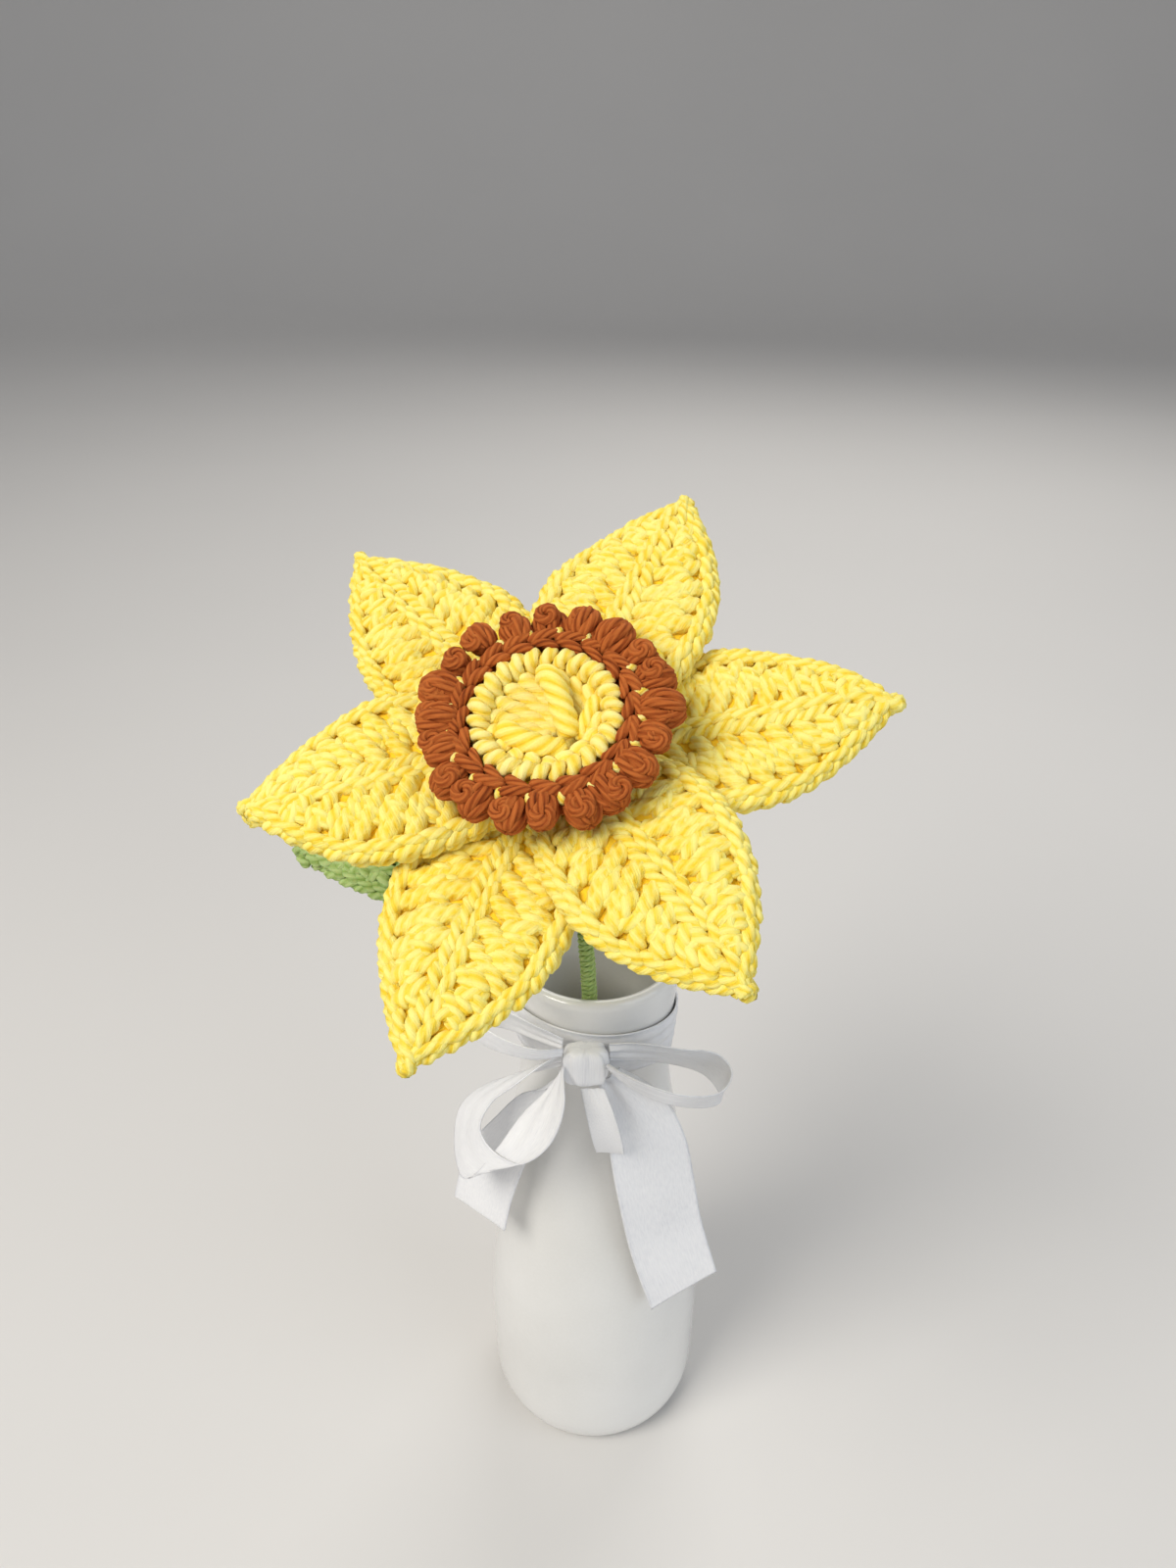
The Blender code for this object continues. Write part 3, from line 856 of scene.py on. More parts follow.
@dataclass(frozen=True)
class Crochet:
    """Stitches worked over a blade, on its front and on its back."""

    blade: Blade
    seed: int
    pitch: float = 4.2
    rib: Yarn = Yarn(radius=1.85, plies=4, twist=8.0, groove=0.34, sides=14)
    post: Yarn = Yarn(radius=1.45, plies=3, twist=7.5, groove=0.34, sides=12)
    leg: Yarn = Yarn(radius=1.28, plies=3, twist=7.0, groove=0.34, sides=12)
    core_half: float = 1.45
    border: float = 3.4
    rib_points: int = 13
    short_points: int = 9
    edge_points: int = 120
    overlap: float = 1.35
    spine_gap: float = 0.35
    # inset from the blade's edge and height off it, for the two legs of each border stitch
    border_legs: tuple = ((3.0, 1.25), (0.4, 0.55))
    border_middle: float = 1.7

    @property
    def step(self) -> float:
        """The distance between stitches as a share of the blade's length."""
        return self.pitch / self.blade.length

    def _lay(
        self,
        skin: Skin,
        yarn: Yarn,
        place: tuple[Array, Array, Array],
        face: int,
        rng: np.random.Generator,
        loose: float = 0.0,
    ) -> None:
        """Sweeps strands over the blade.

        Args:
            skin: What they are added to.
            yarn: The strand.
            place: Shares along, shares across, and heights off the surface.
            face: 1 for the front and -1 for the back.
            rng: Gives the strands their differences.
            loose: How far each strand lies from its place, in millimetres.
        """
        v, across, height = np.broadcast_arrays(*place)
        normal = self.blade.normal(v, across) * face
        lines = self.blade.point(v, across) + normal * height[..., None]
        if loose:
            lines = lines + scatter(rng, len(v), loose)
        yarn.sweep(skin, lines, normal, rng)

    def _edge_share(self, v: Array) -> Array:
        """The share across at which the border begins."""
        half = self.blade.half(v)
        return np.clip((half - self.border) / half, 0.12, 0.95)

    def ribs(self, skin: Skin, face: int, rng: np.random.Generator) -> None:
        """Lays long stitches from the spine out to the border, slanting toward the tip.

        Args:
            skin: What they are added to.
            face: 1 for the front and -1 for the back.
            rng: Gives the strands their differences.
        """
        count = max(int(self.blade.length * 0.90 / self.pitch), 4)
        starts = 0.015 + np.arange(count) * self.pitch / self.blade.length
        t = np.linspace(0, 1, self.rib_points)[None, :]
        height = 0.95 + 0.55 * np.sin(math.pi * t)
        slant = self.blade.half(starts)[:, None] * 0.42 / self.blade.length
        for sign in (-1, 1):
            jitter = rng.normal(0, 0.05, count) * self.pitch / self.blade.length
            v = (starts + jitter)[:, None] + slant * (0.35 * t + 0.65 * t**1.5)
            v = np.minimum(v, 0.97)
            across = sign * (0.06 + (self._edge_share(v) - 0.02) * t)
            self._lay(skin, self.rib, (v, across, height), face, rng, loose=0.10)

    def crossings(self, skin: Skin, face: int, rng: np.random.Generator) -> None:
        """Lays short crossed stitches over the gaps between the ribs, part way out.

        Args:
            skin: What they are added to.
            face: 1 for the front and -1 for the back.
            rng: Gives the strands their differences.
        """
        count = max(int(self.blade.length * 0.74 / self.pitch), 3)
        starts = 0.10 + (np.arange(count) + 0.5) * self.pitch / self.blade.length
        t = np.linspace(0, 1, self.short_points)[None, :]
        height = 1.15 + 0.75 * np.sin(math.pi * t)
        slant = self.blade.half(starts)[:, None] * 0.17 / self.blade.length
        for sign in (-1, 1):
            for lean in (-1, 1):
                middle = 0.56 + rng.normal(0, 0.05, count)[:, None]
                v = starts[:, None] + (0.35 + lean * (0.50 - 0.50 * t)) * self.step + slant
                share = self._edge_share(np.minimum(v, 0.97))
                place = (np.minimum(v, 0.965), sign * share * (middle - 0.16 + 0.46 * t), height)
                self._lay(skin, self.post, place, face, rng, loose=0.12)

    def spine(self, skin: Skin, face: int, rng: np.random.Generator) -> None:
        """Lays a chain of V stitches along the middle line.

        Args:
            skin: What they are added to.
            face: 1 for the front and -1 for the back.
            rng: Gives the strands their differences.
        """
        count = int(self.blade.length * 0.93 / (self.pitch * 0.9))
        starts = 0.01 + np.arange(count) * self.pitch * 0.9 / self.blade.length
        t = np.linspace(0, 1, self.short_points)[None, :]
        v = np.minimum(starts[:, None] + t * self.overlap * self.step, 0.985)
        offset = (1.45 * (1 - t) ** 1.2 + self.spine_gap) / self.blade.half(v)
        height = 1.55 + 0.35 * np.sin(math.pi * t)
        for sign in (-1, 1):
            self._lay(skin, self.leg, (v, sign * offset, height), face, rng)

    def edge(self, skin: Skin, face: int, rng: np.random.Generator) -> None:
        """Lays the border: V stitches that run up one side, round the tip and back.

        Args:
            skin: What they are added to.
            face: 1 for the front and -1 for the back.
            rng: Gives the strands their differences.
        """
        up = np.linspace(0.0, 1.0, self.edge_points)
        v = np.concatenate([up, up[::-1]])
        sign = np.repeat([-1.0, 1.0], self.edge_points)
        steps = np.linalg.norm(np.diff(self.blade.point(v, sign), axis=0), axis=1)
        run = np.concatenate([[0], np.cumsum(steps)])
        count = int(run[-1] / (self.pitch * 0.92))
        starts = np.arange(count)[:, None] * run[-1] / count
        t = np.linspace(0, 1, self.short_points)[None, :]
        at = np.minimum(starts + t * self.pitch * self.overlap, run[-1])
        edge_v, edge_sign = np.interp(at, run, v), np.interp(at, run, sign)
        half = self.blade.half(edge_v)
        for inset, height in self.border_legs:
            inset = inset + (self.border_middle - inset) * t**0.8
            across = edge_sign * np.clip(1 - inset / half, 0.0, 1.0)
            place = (edge_v, across, height + 0.35 * np.sin(math.pi * t))
            self._lay(skin, self.leg, place, face, rng, loose=0.06)

    def core(self) -> Skin:
        """Makes the closed inner body: an oval section carried along the blade.

        Returns:
            Its skin, rounded off at both ends and closed there.
        """
        last = 0.985
        v = np.linspace(0.0, last, 40)[:, None]
        angle = np.linspace(0, TURN, 24, endpoint=False)[None, :]
        across = -np.cos(angle) * np.clip(1 - 1.3 / self.blade.half(v), 0.1, 1.0)
        ends = np.sqrt(np.clip(1 - (2 * v / last - 1) ** 20, 0.04, 1))
        height = np.sin(angle) * self.core_half * ends
        v = v + 0 * angle
        points = self.blade.point(v, across) + self.blade.normal(v, across) * height[..., None]
        skin = Skin.empty()
        add_surface(skin, points, (4.0, 4.0), wrap=True)
        add_caps(skin, *points.shape[:2])
        return skin

    def stitches(self) -> Skin:
        """Makes every strand of the blade.

        Returns:
            Their skin.
        """
        skin, rng = Skin.empty(), np.random.default_rng(self.seed)
        for face in (1, -1):
            self.ribs(skin, face, rng)
            self.crossings(skin, face, rng)
            self.spine(skin, face, rng)
            self.edge(skin, face, rng)
        return skin


@dataclass(frozen=True)
class Petals:
    """Six crocheted petals in two layers of three."""

    layer: float = 2.6
    # name, turn about the axis, reach, layer (1 front, -1 back), tip lift, twist
    set_out: tuple = (
        ("petal_left", 192.0, 52.0, 1, 2.0, 0.6),
        ("petal_lower_left", 247.0, 57.0, -1, 1.0, -0.6),
        ("petal_lower_right", 304.0, 53.0, 1, 0.5, 0.8),
        ("petal_right", 367.0, 58.0, -1, 3.0, 1.2),
        ("petal_upper_right", 423.5, 55.5, 1, 2.0, -0.8),
        ("petal_upper_left", 490.0, 60.0, -1, 2.0, 0.5),
    )

    def build(self, yarn: bpy.types.Material, gap_shade: bpy.types.Material) -> None:
        """Makes each petal as its strands and the closed body beneath them, whose darker yellow is
        painted shade between the strands.

        Args:
            yarn: The strands' finish.
            gap_shade: The finish of the body that shows between them.
        """
        for seed, (name, turned, reach, side, lift, twist) in enumerate(self.set_out):
            blade = Blade(turned, reach, side * self.layer, lift, twist)
            crochet = Crochet(blade, seed=11 + seed)
            place_piece(crochet.stitches(), name + "_stitches", yarn, Slot.YELLOW, name)
            # the body's darker yellow is painted shade between the strands
            place_piece(crochet.core(), name + "_body", gap_shade, Slot.YELLOW)


# ---------------------------------------------------------------- cup, frill, stamens


@dataclass(frozen=True)
class Corona:
    """The cup with its rolled rim, its frill of bobbles and its stamens."""

    rim: float = 11.9
    rim_height: float = 13.4
    rim_posts: int = 26
    wall_posts: int = 18
    deep_point: tuple[float, float] = (4.2, -4.2)
    bobbles: int = 20
    ring: float = 14.3
    bobble_out: float = 17.9
    bobble_height: float = 12.4
    bobble_half: Span = (3.3, 3.05, 2.9)
    bobble_strands: int = 8
    # distance out and height of each corner of the cup's section
    section: tuple = (
        *((0.0, 4.7), (6.4, 4.7), (8.0, 5.6), (9.8, 8.6), (11.4, 11.6), (11.3, 12.9)),
        *((10.2, 13.1), (9.2, 12.0), (7.6, 9.4), (5.6, 7.6), (0.0, 7.0)),
    )
    # radius, then points as right, up and forward of the head's middle
    stamen_ways: tuple = (
        (2.1, ((-0.4, 8.2, 13.2), (1.2, 5.4, 14.6), (2.6, 1.2, 13.4), (4.0, -3.0, 10.8))),
        (1.5, ((8.4, 3.0, 13.0), (7.4, 1.0, 12.8), (6.2, -1.2, 11.6), (5.0, -3.2, 10.2))),
        (1.8, ((-7.2, -1.6, 13.0), (-4.4, -4.0, 13.2), (-0.8, -5.2, 12.4), (3.0, -5.0, 10.6))),
    )

    def cup(self) -> Skin:
        """Makes the rounds of stitches: over the rim, down the wall, and in to the deep point.

        Returns:
            Their skin, with the cup's closed body.
        """
        skin, rng = Skin.empty(), np.random.default_rng(31)
        post = Yarn(radius=1.30, plies=3, twist=8.0, groove=0.26, sides=12)
        shares, section = np.linspace(0, 1, len(self.section)), np.array(self.section)
        at = np.linspace(0, 1, 60)
        add_turned(skin, np.interp(at, shares, section[:, 0]), np.interp(at, shares, section[:, 1]))
        step = 360.0 / self.rim_posts
        t = np.linspace(0, 1, 13)[None, :]
        turns = np.arange(self.rim_posts)[:, None] * step + 0.8 * step * t
        arc = math.pi * 0.98 * t
        middle = self.rim - 1.1
        height = self.rim_height - 0.5 + 1.25 * np.sin(arc) - 1.6 * rise(t, 0.55, 1.0)
        lines = HEAD.polar(turns, middle + 1.15 * np.cos(arc), height)
        post.sweep(skin, lines, unit(lines - HEAD.polar(turns, middle, self.rim_height - 1.2)), rng)
        self._wall(skin, rng)
        self._outside(skin, rng)
        return skin

    def _wall(self, skin: Skin, rng: np.random.Generator) -> None:
        """Lays fat folds from under the rim, swirling down to the deep point.

        Args:
            skin: What they are added to.
            rng: Gives the strands their differences.
        """
        fold = Yarn(radius=1.55, plies=3, twist=10.0, groove=0.28, sides=12)
        turns = np.arange(self.wall_posts)[:, None] * 360.0 / self.wall_posts
        t = np.linspace(0, 1, 15)[None, :]
        out = 9.4 - 6.0 * t + rng.normal(0, 0.25, self.wall_posts)[:, None]
        height = 12.3 - 3.4 * rise(t, 0.0, 0.9) + rng.normal(0, 0.25, self.wall_posts)[:, None]
        angle = np.radians(turns - 34.0 * t)
        pull = 0.85 * rise(t, 0.15, 1.0)
        x = np.cos(angle) * out + pull * self.deep_point[0]
        y = np.sin(angle) * out + pull * self.deep_point[1]
        inward = -np.stack([np.cos(angle), np.sin(angle), np.full_like(angle, -1.4)], axis=-1)
        lines = HEAD.world(np.stack([x, y, height], axis=-1))
        fold.sweep(skin, lines, unit(inward @ HEAD.matrix()[1]), rng)

    def _outside(self, skin: Skin, rng: np.random.Generator) -> None:
        """Lays upright stitches down the outer wall.

        Args:
            skin: What they are added to.
            rng: Gives the strands their differences.
        """
        post = Yarn(radius=1.35, plies=3, twist=8.0, groove=0.3, sides=10)
        count, marks = 22, (0, 0.35, 0.7, 1)
        t = np.linspace(0, 1, 10)[None, :]
        turns = np.arange(count)[:, None] * 360.0 / count + 6 * t
        height = np.interp(t, marks, (12.4, 9.6, 7.2, 5.9))
        lines = HEAD.polar(turns, np.interp(t, marks, (12.0, 11.0, 9.3, 7.6)), height)
        post.sweep(skin, lines, unit(lines - HEAD.polar(turns, 0.0, height)), rng)

    def frill(self) -> Skin:
        """Makes the bobbles, each a cluster of strands laid like lines of longitude.

        A strand's point is -cos(pi t) out, sin(pi t) cos(w) across and sin(pi t) sin(w) up,
        times the bobble's half sizes, where w is its longitude and wanders a little.

        Returns:
            Their skin, with the coil on each and the chain inside them.
        """
        skin, rng = Skin.empty(), np.random.default_rng(47)
        strand = Yarn(radius=1.0, plies=5, twist=11.0, groove=0.22, sides=15)
        half_out, half_across, half_up = self.bobble_half
        count, each = self.bobbles, self.bobble_strands
        turns = np.repeat(np.arange(count) * 360.0 / count, each)
        turns = (turns + np.repeat(rng.normal(0, 1.2, count), each))[:, None]
        swell = np.repeat(1 + rng.normal(0, 0.12, count), each)[:, None]
        shift = np.repeat(rng.normal(0, 0.7, count), each)[:, None]
        lift = np.repeat(rng.normal(0, 0.6, count), each)[:, None]
        spin = np.repeat(rng.uniform(-0.5, 0.5, count), each)
        longitude = np.tile(np.arange(each) * TURN / each, count) + spin
        t = np.linspace(0.03, 0.97, 12)[None, :]
        wander = longitude[:, None] + 0.9 * (t - 0.5)
        bulge = np.sin(math.pi * t)
        out = self.bobble_out + shift - np.cos(math.pi * t) * (half_out - 0.5) * swell
        across = bulge * np.cos(wander) * (half_across - 0.75) * swell
        up = bulge * np.sin(wander) * (half_up - 0.75) * swell
        middle = self.bobble_height + lift
        lines = HEAD.beside(turns, out, across, middle + up + 0.5 * bulge)
        heart = HEAD.beside(turns, out, 0.0, middle)
        strand.sweep(skin, lines, unit(lines - heart + 1e-6), rng)
        self._knots(skin, rng)
        self._chain(skin, rng)
        return skin

    def _knots(self, skin: Skin, rng: np.random.Generator) -> None:
        """Lays a small coil that closes each bobble on its outer, upper side.

        Args:
            skin: What they are added to.
            rng: Gives the strands their differences.
        """
        coil = Yarn(radius=0.9, plies=5, twist=9.0, groove=0.22, sides=15)
        turns = np.arange(self.bobbles)[:, None] * 360.0 / self.bobbles
        turns = turns + rng.normal(0, 3, (self.bobbles, 1))
        t = np.linspace(0, 1, 18)[None, :]
        around = TURN * 1.35 * t + rng.uniform(0, 6, (self.bobbles, 1))
        radius = 1.75 - 1.0 * t
        out = self.bobble_out + 0.9 + radius * np.cos(around)
        height = self.bobble_height + 2.15 + 0.55 * t
        lines = HEAD.beside(turns, out, radius * np.sin(around), height)
        coil.sweep(skin, lines, HEAD.forward(lines), rng)

    def _chain(self, skin: Skin, rng: np.random.Generator) -> None:
        """Lays a round of V stitches between the cup's rim and the bobbles.

        Args:
            skin: What they are added to.
            rng: Gives the strands their differences.
        """
        leg = Yarn(radius=0.98, plies=5, twist=10.0, groove=0.22, sides=15)
        step = 360.0 / self.bobbles
        t = np.linspace(0, 1, 10)[None, :]
        turns = (np.arange(self.bobbles)[:, None] + 0.5) * step + step * 1.15 * t
        for inner, height in ((-1.5, 13.6), (1.3, 13.9)):
            out = self.ring + inner + (0.1 - inner) * t
            lines = HEAD.polar(turns, out, height + 0.55 * np.sin(math.pi * t))
            leg.sweep(skin, lines, HEAD.forward(lines), rng)
        under = Yarn(radius=1.3, plies=3, twist=6.0, groove=0.3, sides=10)
        around = np.arange(120)[None, :] * 3.0
        for out, height in ((13.9, 11.4), (15.6, 10.6)):
            line = HEAD.polar(around, out, height)
            under.sweep(skin, line, HEAD.forward(line), rng, closed=True)

    def eyelets(self) -> Skin:
        """Makes the cream stitches that show between the frill's chain stitches.

        Returns:
            Their skin.
        """
        skin, rng = Skin.empty(), np.random.default_rng(53)
        dot = Yarn(radius=0.78, plies=3, twist=4.0, groove=0.2, sides=10)
        turns = (np.arange(self.bobbles)[:, None] + 0.5) * 360.0 / self.bobbles + 1.5
        t = np.linspace(0, 1, 8)[None, :]
        lines = HEAD.polar(turns, 14.5 + 2.2 * t, 13.3 + 0.85 * np.sin(math.pi * t))
        dot.sweep(skin, lines, HEAD.forward(lines), rng)
        return skin

    def stamens(self) -> dict[str, Skin]:
        """Makes three thick strands that lie down the cup's wall to the deep point.

        Returns:
            The skin of each, by the node's name.
        """
        skins = {}
        for index, (radius, way) in enumerate(self.stamen_ways):
            skin, rng = Skin.empty(), np.random.default_rng(61 + index)
            line = HEAD.world(smooth(np.array(way), np.linspace(0, 1, 26)))[None]
            yarn = Yarn(radius, plies=4, twist=9.0, groove=0.24, sides=18, end_rings=3)
            yarn.sweep(skin, line, HEAD.forward(line), rng)
            skins[f"stamen_{index + 1}"] = skin
        return skins

    def build(
        self, yarn: bpy.types.Material, cream: bpy.types.Material, rust: bpy.types.Material
    ) -> None:
        """Makes the cup, the frill, the cream stitches between them and the stamens.

        Args:
            yarn: The stamens' finish.
            cream: The cup's finish.
            rust: The frill's finish.
        """
        place_piece(self.cup(), "corona_cup_stitches", cream, Slot.YELLOW, "corona_cup")
        place_piece(self.eyelets(), "corona_eyelets", cream, Slot.YELLOW)
        place_piece(self.frill(), "corona_frill_stitches", rust, Slot.RUST, "corona_frill")
        for name, skin in self.stamens().items():
            place_piece(skin, name + "_strand", yarn, Slot.YELLOW, name)


# ---------------------------------------------------------------- greenery


@dataclass(frozen=True)
class Greenery:
    """The wound stem, the calyx behind the petals and the leaf."""

    stem_radius: float = 1.7
    wrap: Yarn = Yarn(radius=0.62, plies=3, twist=3.0, groove=0.30, sides=8)
    path: tuple = (
        (1.0, 15.2, 5.1),
        (0.6, 8.0, 42.0),
        (0.0, 0.6, 80.0),
        (-0.7, -7.2, 115.0),
        (-1.3, -13.2, 143.5),
        (-2.3, -12.7, 160.0),
        (-3.4, -11.9, 173.0),
    )
    calyx_end: float = -21.5
    top: float = -8.0
    wrap_points: int = 12
    calyx_posts: int = 16
    # distance out and height along the head's axis
    calyx_body: tuple = (
        *((0, -20.9), (2.6, -20.6), (3.0, -18.0), (4.3, -14.2)),
        *((6.5, -10.4), (8.4, -7.2), (7.8, -5.3), (0, -5.1)),
    )
    calyx_side: tuple = (
        *((2.6, -5.6), (8.2, -5.8), (8.6, -7.4), (6.6, -10.6)),
        *((4.4, -14.4), (3.1, -18.2), (2.9, -20.6)),
    )
    calyx_rounds: tuple = ((8.9, -6.3), (7.4, -9.6), (5.2, -13.4), (3.7, -17.4), (3.3, -20.6))

    def stem_line(self, count: int) -> Array:
        """Reads the stem's middle line, from the vase's floor into the calyx.

        Args:
            count: How many points.

        Returns:
            Points an equal distance apart.
        """
        depths = (self.calyx_end - 5.0, self.calyx_end, self.top)
        ends = HEAD.world(np.array([(0, 0, depth) for depth in depths]))
        way = np.concatenate([np.array(self.path), ends])
        return even(smooth(way, np.linspace(0, 1, 400)), count)

    def stem(self) -> Skin:
        """Makes the yarn wound round the wire: a helix whose turns lie side by side.

        Returns:
            Its skin.
        """
        skin, rng = Skin.empty(), np.random.default_rng(71)
        length = np.linalg.norm(np.diff(self.stem_line(200), axis=0), axis=1).sum()
        line = self.stem_line(int(length / (self.wrap.radius * 2.05)) * self.wrap_points)
        tangent = unit(np.gradient(line, axis=0))
        side = unit(np.cross(tangent, np.array([1.0, 0.0, 0.0])))
        angle = (np.arange(len(line)) * TURN / self.wrap_points)[:, None]
        away = np.cos(angle) * side + np.sin(angle) * np.cross(tangent, side)
        helix = line + away * (self.stem_radius - self.wrap.radius)
        self.wrap.sweep(skin, helix[None], away[None], rng)
        return skin

    def calyx(self) -> Skin:
        """Makes a cap of upright stitches and rounds of chain over a closed inner body.

        Returns:
            Its skin.
        """
        skin, rng = Skin.empty(), np.random.default_rng(73)
        body, side = np.array(self.calyx_body), np.array(self.calyx_side)
        add_turned(skin, body[:, 0], body[:, 1])
        post = Yarn(radius=1.25, plies=3, twist=7.0, groove=0.32, sides=12)
        t = np.linspace(0, 1, 26)[None, :]
        turns = np.arange(self.calyx_posts)[:, None] * 360.0 / self.calyx_posts + 25 * t
        out, height = np.moveaxis(smooth(side, t), -1, 0)
        lines = HEAD.polar(turns, out, height)
        post.sweep(skin, lines, unit(lines - HEAD.polar(turns, 0.0, height * 0.6 - 4.5)), rng)
        around = np.arange(72)[None, :] * 5.0
        for out, height in self.calyx_rounds:
            ring = HEAD.polar(around, out, height)
            post.sweep(skin, ring, HEAD.forward(ring), rng, closed=True)
        return skin

    def build(self, green: bpy.types.Material, leaf_gap_shade: bpy.types.Material) -> None:
        """Makes the stem, the calyx and the leaf with the body beneath its stitches, whose darker
        green is painted shade between them.

        Args:
            green: The strands' finish.
            leaf_gap_shade: The finish of the leaf's body.
        """
        place_piece(self.stem(), "stem_winding", green, Slot.GREEN, "stem_yarn")
        place_piece(self.calyx(), "calyx_stitches", green, Slot.GREEN, "calyx")
        thin = Yarn(radius=1.15, plies=3, twist=6.5, groove=0.34, sides=10)
        yarns = {"rib": thin, "post": thin, "leg": thin}
        crochet = Crochet(LeafBlade(), 81, pitch=3.6, core_half=0.8, border=2.6, **yarns)
        place_piece(crochet.stitches(), "leaf_stitches", green, Slot.GREEN, "leaf")
        # the body's darker green is painted shade between the strands
        place_piece(crochet.core(), "leaf_body", leaf_gap_shade, Slot.GREEN)


# ---------------------------------------------------------------- vase and ribbon


@dataclass(frozen=True)
class Vase:
    """The bottle, turned about Z from a smooth profile."""

    # outer radius and height, from the foot to the lip and over it
    side: tuple = (
        *((18.0, 0.0), (21.4, 0.0), (22.6, 0.7), (24.0, 2.2), (25.3, 4.8), (26.1, 9.0)),
        *((26.3, 20.0), (26.3, 34.0), (25.4, 46.0), (23.7, 60.0), (21.7, 76.0), (19.5, 92.0)),
        *((17.7, 104.0), (16.8, 112.0), (16.5, 119.0), (17.3, 129.0), (18.55, 140.6)),
        *((18.75, 142.3), (18.2, 143.3), (17.4, 143.5), (16.6, 143.1), (16.1, 142.0)),
        (15.9, 140.6),
    )
    # which of those points the side and its lining take
    turned: tuple[int, int] = (3, 17)
    lined: tuple[int, int] = (5, 16)
    wall: float = 2.8
    floor: float = 4.2
    around: int = 128

    def radius(self, height: Array) -> Array:
        """The outer radius at a height, from the side between the foot and the lip."""
        side = np.array(self.side[slice(*self.turned)])
        return np.interp(height, side[:, 1], side[:, 0])

    def build(self, glaze: bpy.types.Material) -> None:
        """Makes the outer side, the lip, the inner side and both floors as one skin.

        Args:
            glaze: Its finish.
        """
        outer = np.array(self.side)
        inner = outer[slice(*self.lined)][::-1] - np.array([self.wall, 0.0])
        floor = np.array([(21.6, 6.2), (19.0, self.floor), (14.0, self.floor)])
        line = smooth(np.concatenate([outer, inner, floor]), np.linspace(0, 1, 900))
        out, height = even(line, 240).T[..., None]
        angle = -np.arange(self.around)[None] / self.around * TURN
        x, y = out * np.cos(angle), out * np.sin(angle)
        points = np.stack(np.broadcast_arrays(x, y, height), axis=-1)
        skin = Skin.empty()
        add_surface(skin, points, (24.0, 16.0), wrap=True)
        add_caps(skin, *points.shape[:2])
        place_piece(skin, "vase_glazed", glaze, Slot.CERAMIC, "vase")


RIBBON_THICKNESS = 0.30 * MM
NARROWEST = 0.0101


@dataclass(frozen=True)
class Strip:
    """A length of ribbon.

    Each station is a point of its middle line, the direction across it and its half width.
    """

    name: str
    stations: tuple
    held: str
    pleats: float = 0.7
    pleat_reach: float = 0.16
    curl: float = 0.35

    def surface(self, rows: int, columns: int) -> Array:
        """Works out line(v) + a * half(v) * side(v) + pleats near the knot.

        A pleat is a wave across the ribbon whose height falls off along it, and the
        edges curl back a little.

        Args:
            rows: Points along the ribbon.
            columns: Points across it.

        Returns:
            The grid of points, (rows, columns, 3).
        """
        line = np.array([s[0] for s in self.stations])
        side = unit(np.array([s[1] for s in self.stations], float))
        half = np.array([[s[2]] for s in self.stations])
        v = np.linspace(0, 1, rows)
        across = np.linspace(-1, 1, columns)[None, :, None]
        middle, out = smooth(line, v)[:, None], unit(smooth(side, v))[:, None]
        wide = smooth(half, v)[:, None]
        ahead = unit(np.gradient(smooth(line, v), axis=0))[:, None]
        normal = unit(np.cross(ahead, out))
        near = np.exp(-v / self.pleat_reach)
        if self.held == "folded":
            near = near + np.exp(-(1 - v) / self.pleat_reach)
        near = near[:, None, None]
        wave = self.pleats * near * np.cos(across * math.pi * 2.5)
        curl = self.curl * across**4 * (1 - near)
        return middle + across * wide * out + normal * (wave + curl) * 0.55

    def flat(self) -> tuple[tuple[float, float], float]:
        """Works out the cut before it was tied.

        Returns:
            Its greatest width and its length, and its area, in metres. A sheet is at
            least NARROWEST wide.
        """
        line = smooth(np.array([s[0] for s in self.stations]), np.linspace(0, 1, 200))
        length = float(np.linalg.norm(np.diff(line, axis=0), axis=1).sum()) * MM
        widths = [2 * s[2] * MM for s in self.stations]
        return (max(*widths, NARROWEST), length), float(np.mean(widths)) * length


def ribbon_piece(
    name: str, points: Array, satin: bpy.types.Material, wrap: bool
) -> bpy.types.Object:
    """Makes a thin ribbon from a grid of points, with a closed thickness.

    Args:
        name: The node that it replaces.
        points: The grid, (rows, columns, 3).
        satin: Its finish.
        wrap: Whether it goes round and meets itself.

    Returns:
        The piece.
    """
    skin = Skin.empty()
    add_surface(skin, points, (float(points.shape[0]) / 8.0, 1.0), wrap=wrap)
    piece = place_piece(skin, name + "_satin", satin, Slot.RIBBON, name)
    shell = piece.modifiers.new("thickness", "SOLIDIFY")
    shell.thickness = RIBBON_THICKNESS
    shell.offset = 0.0
    return piece


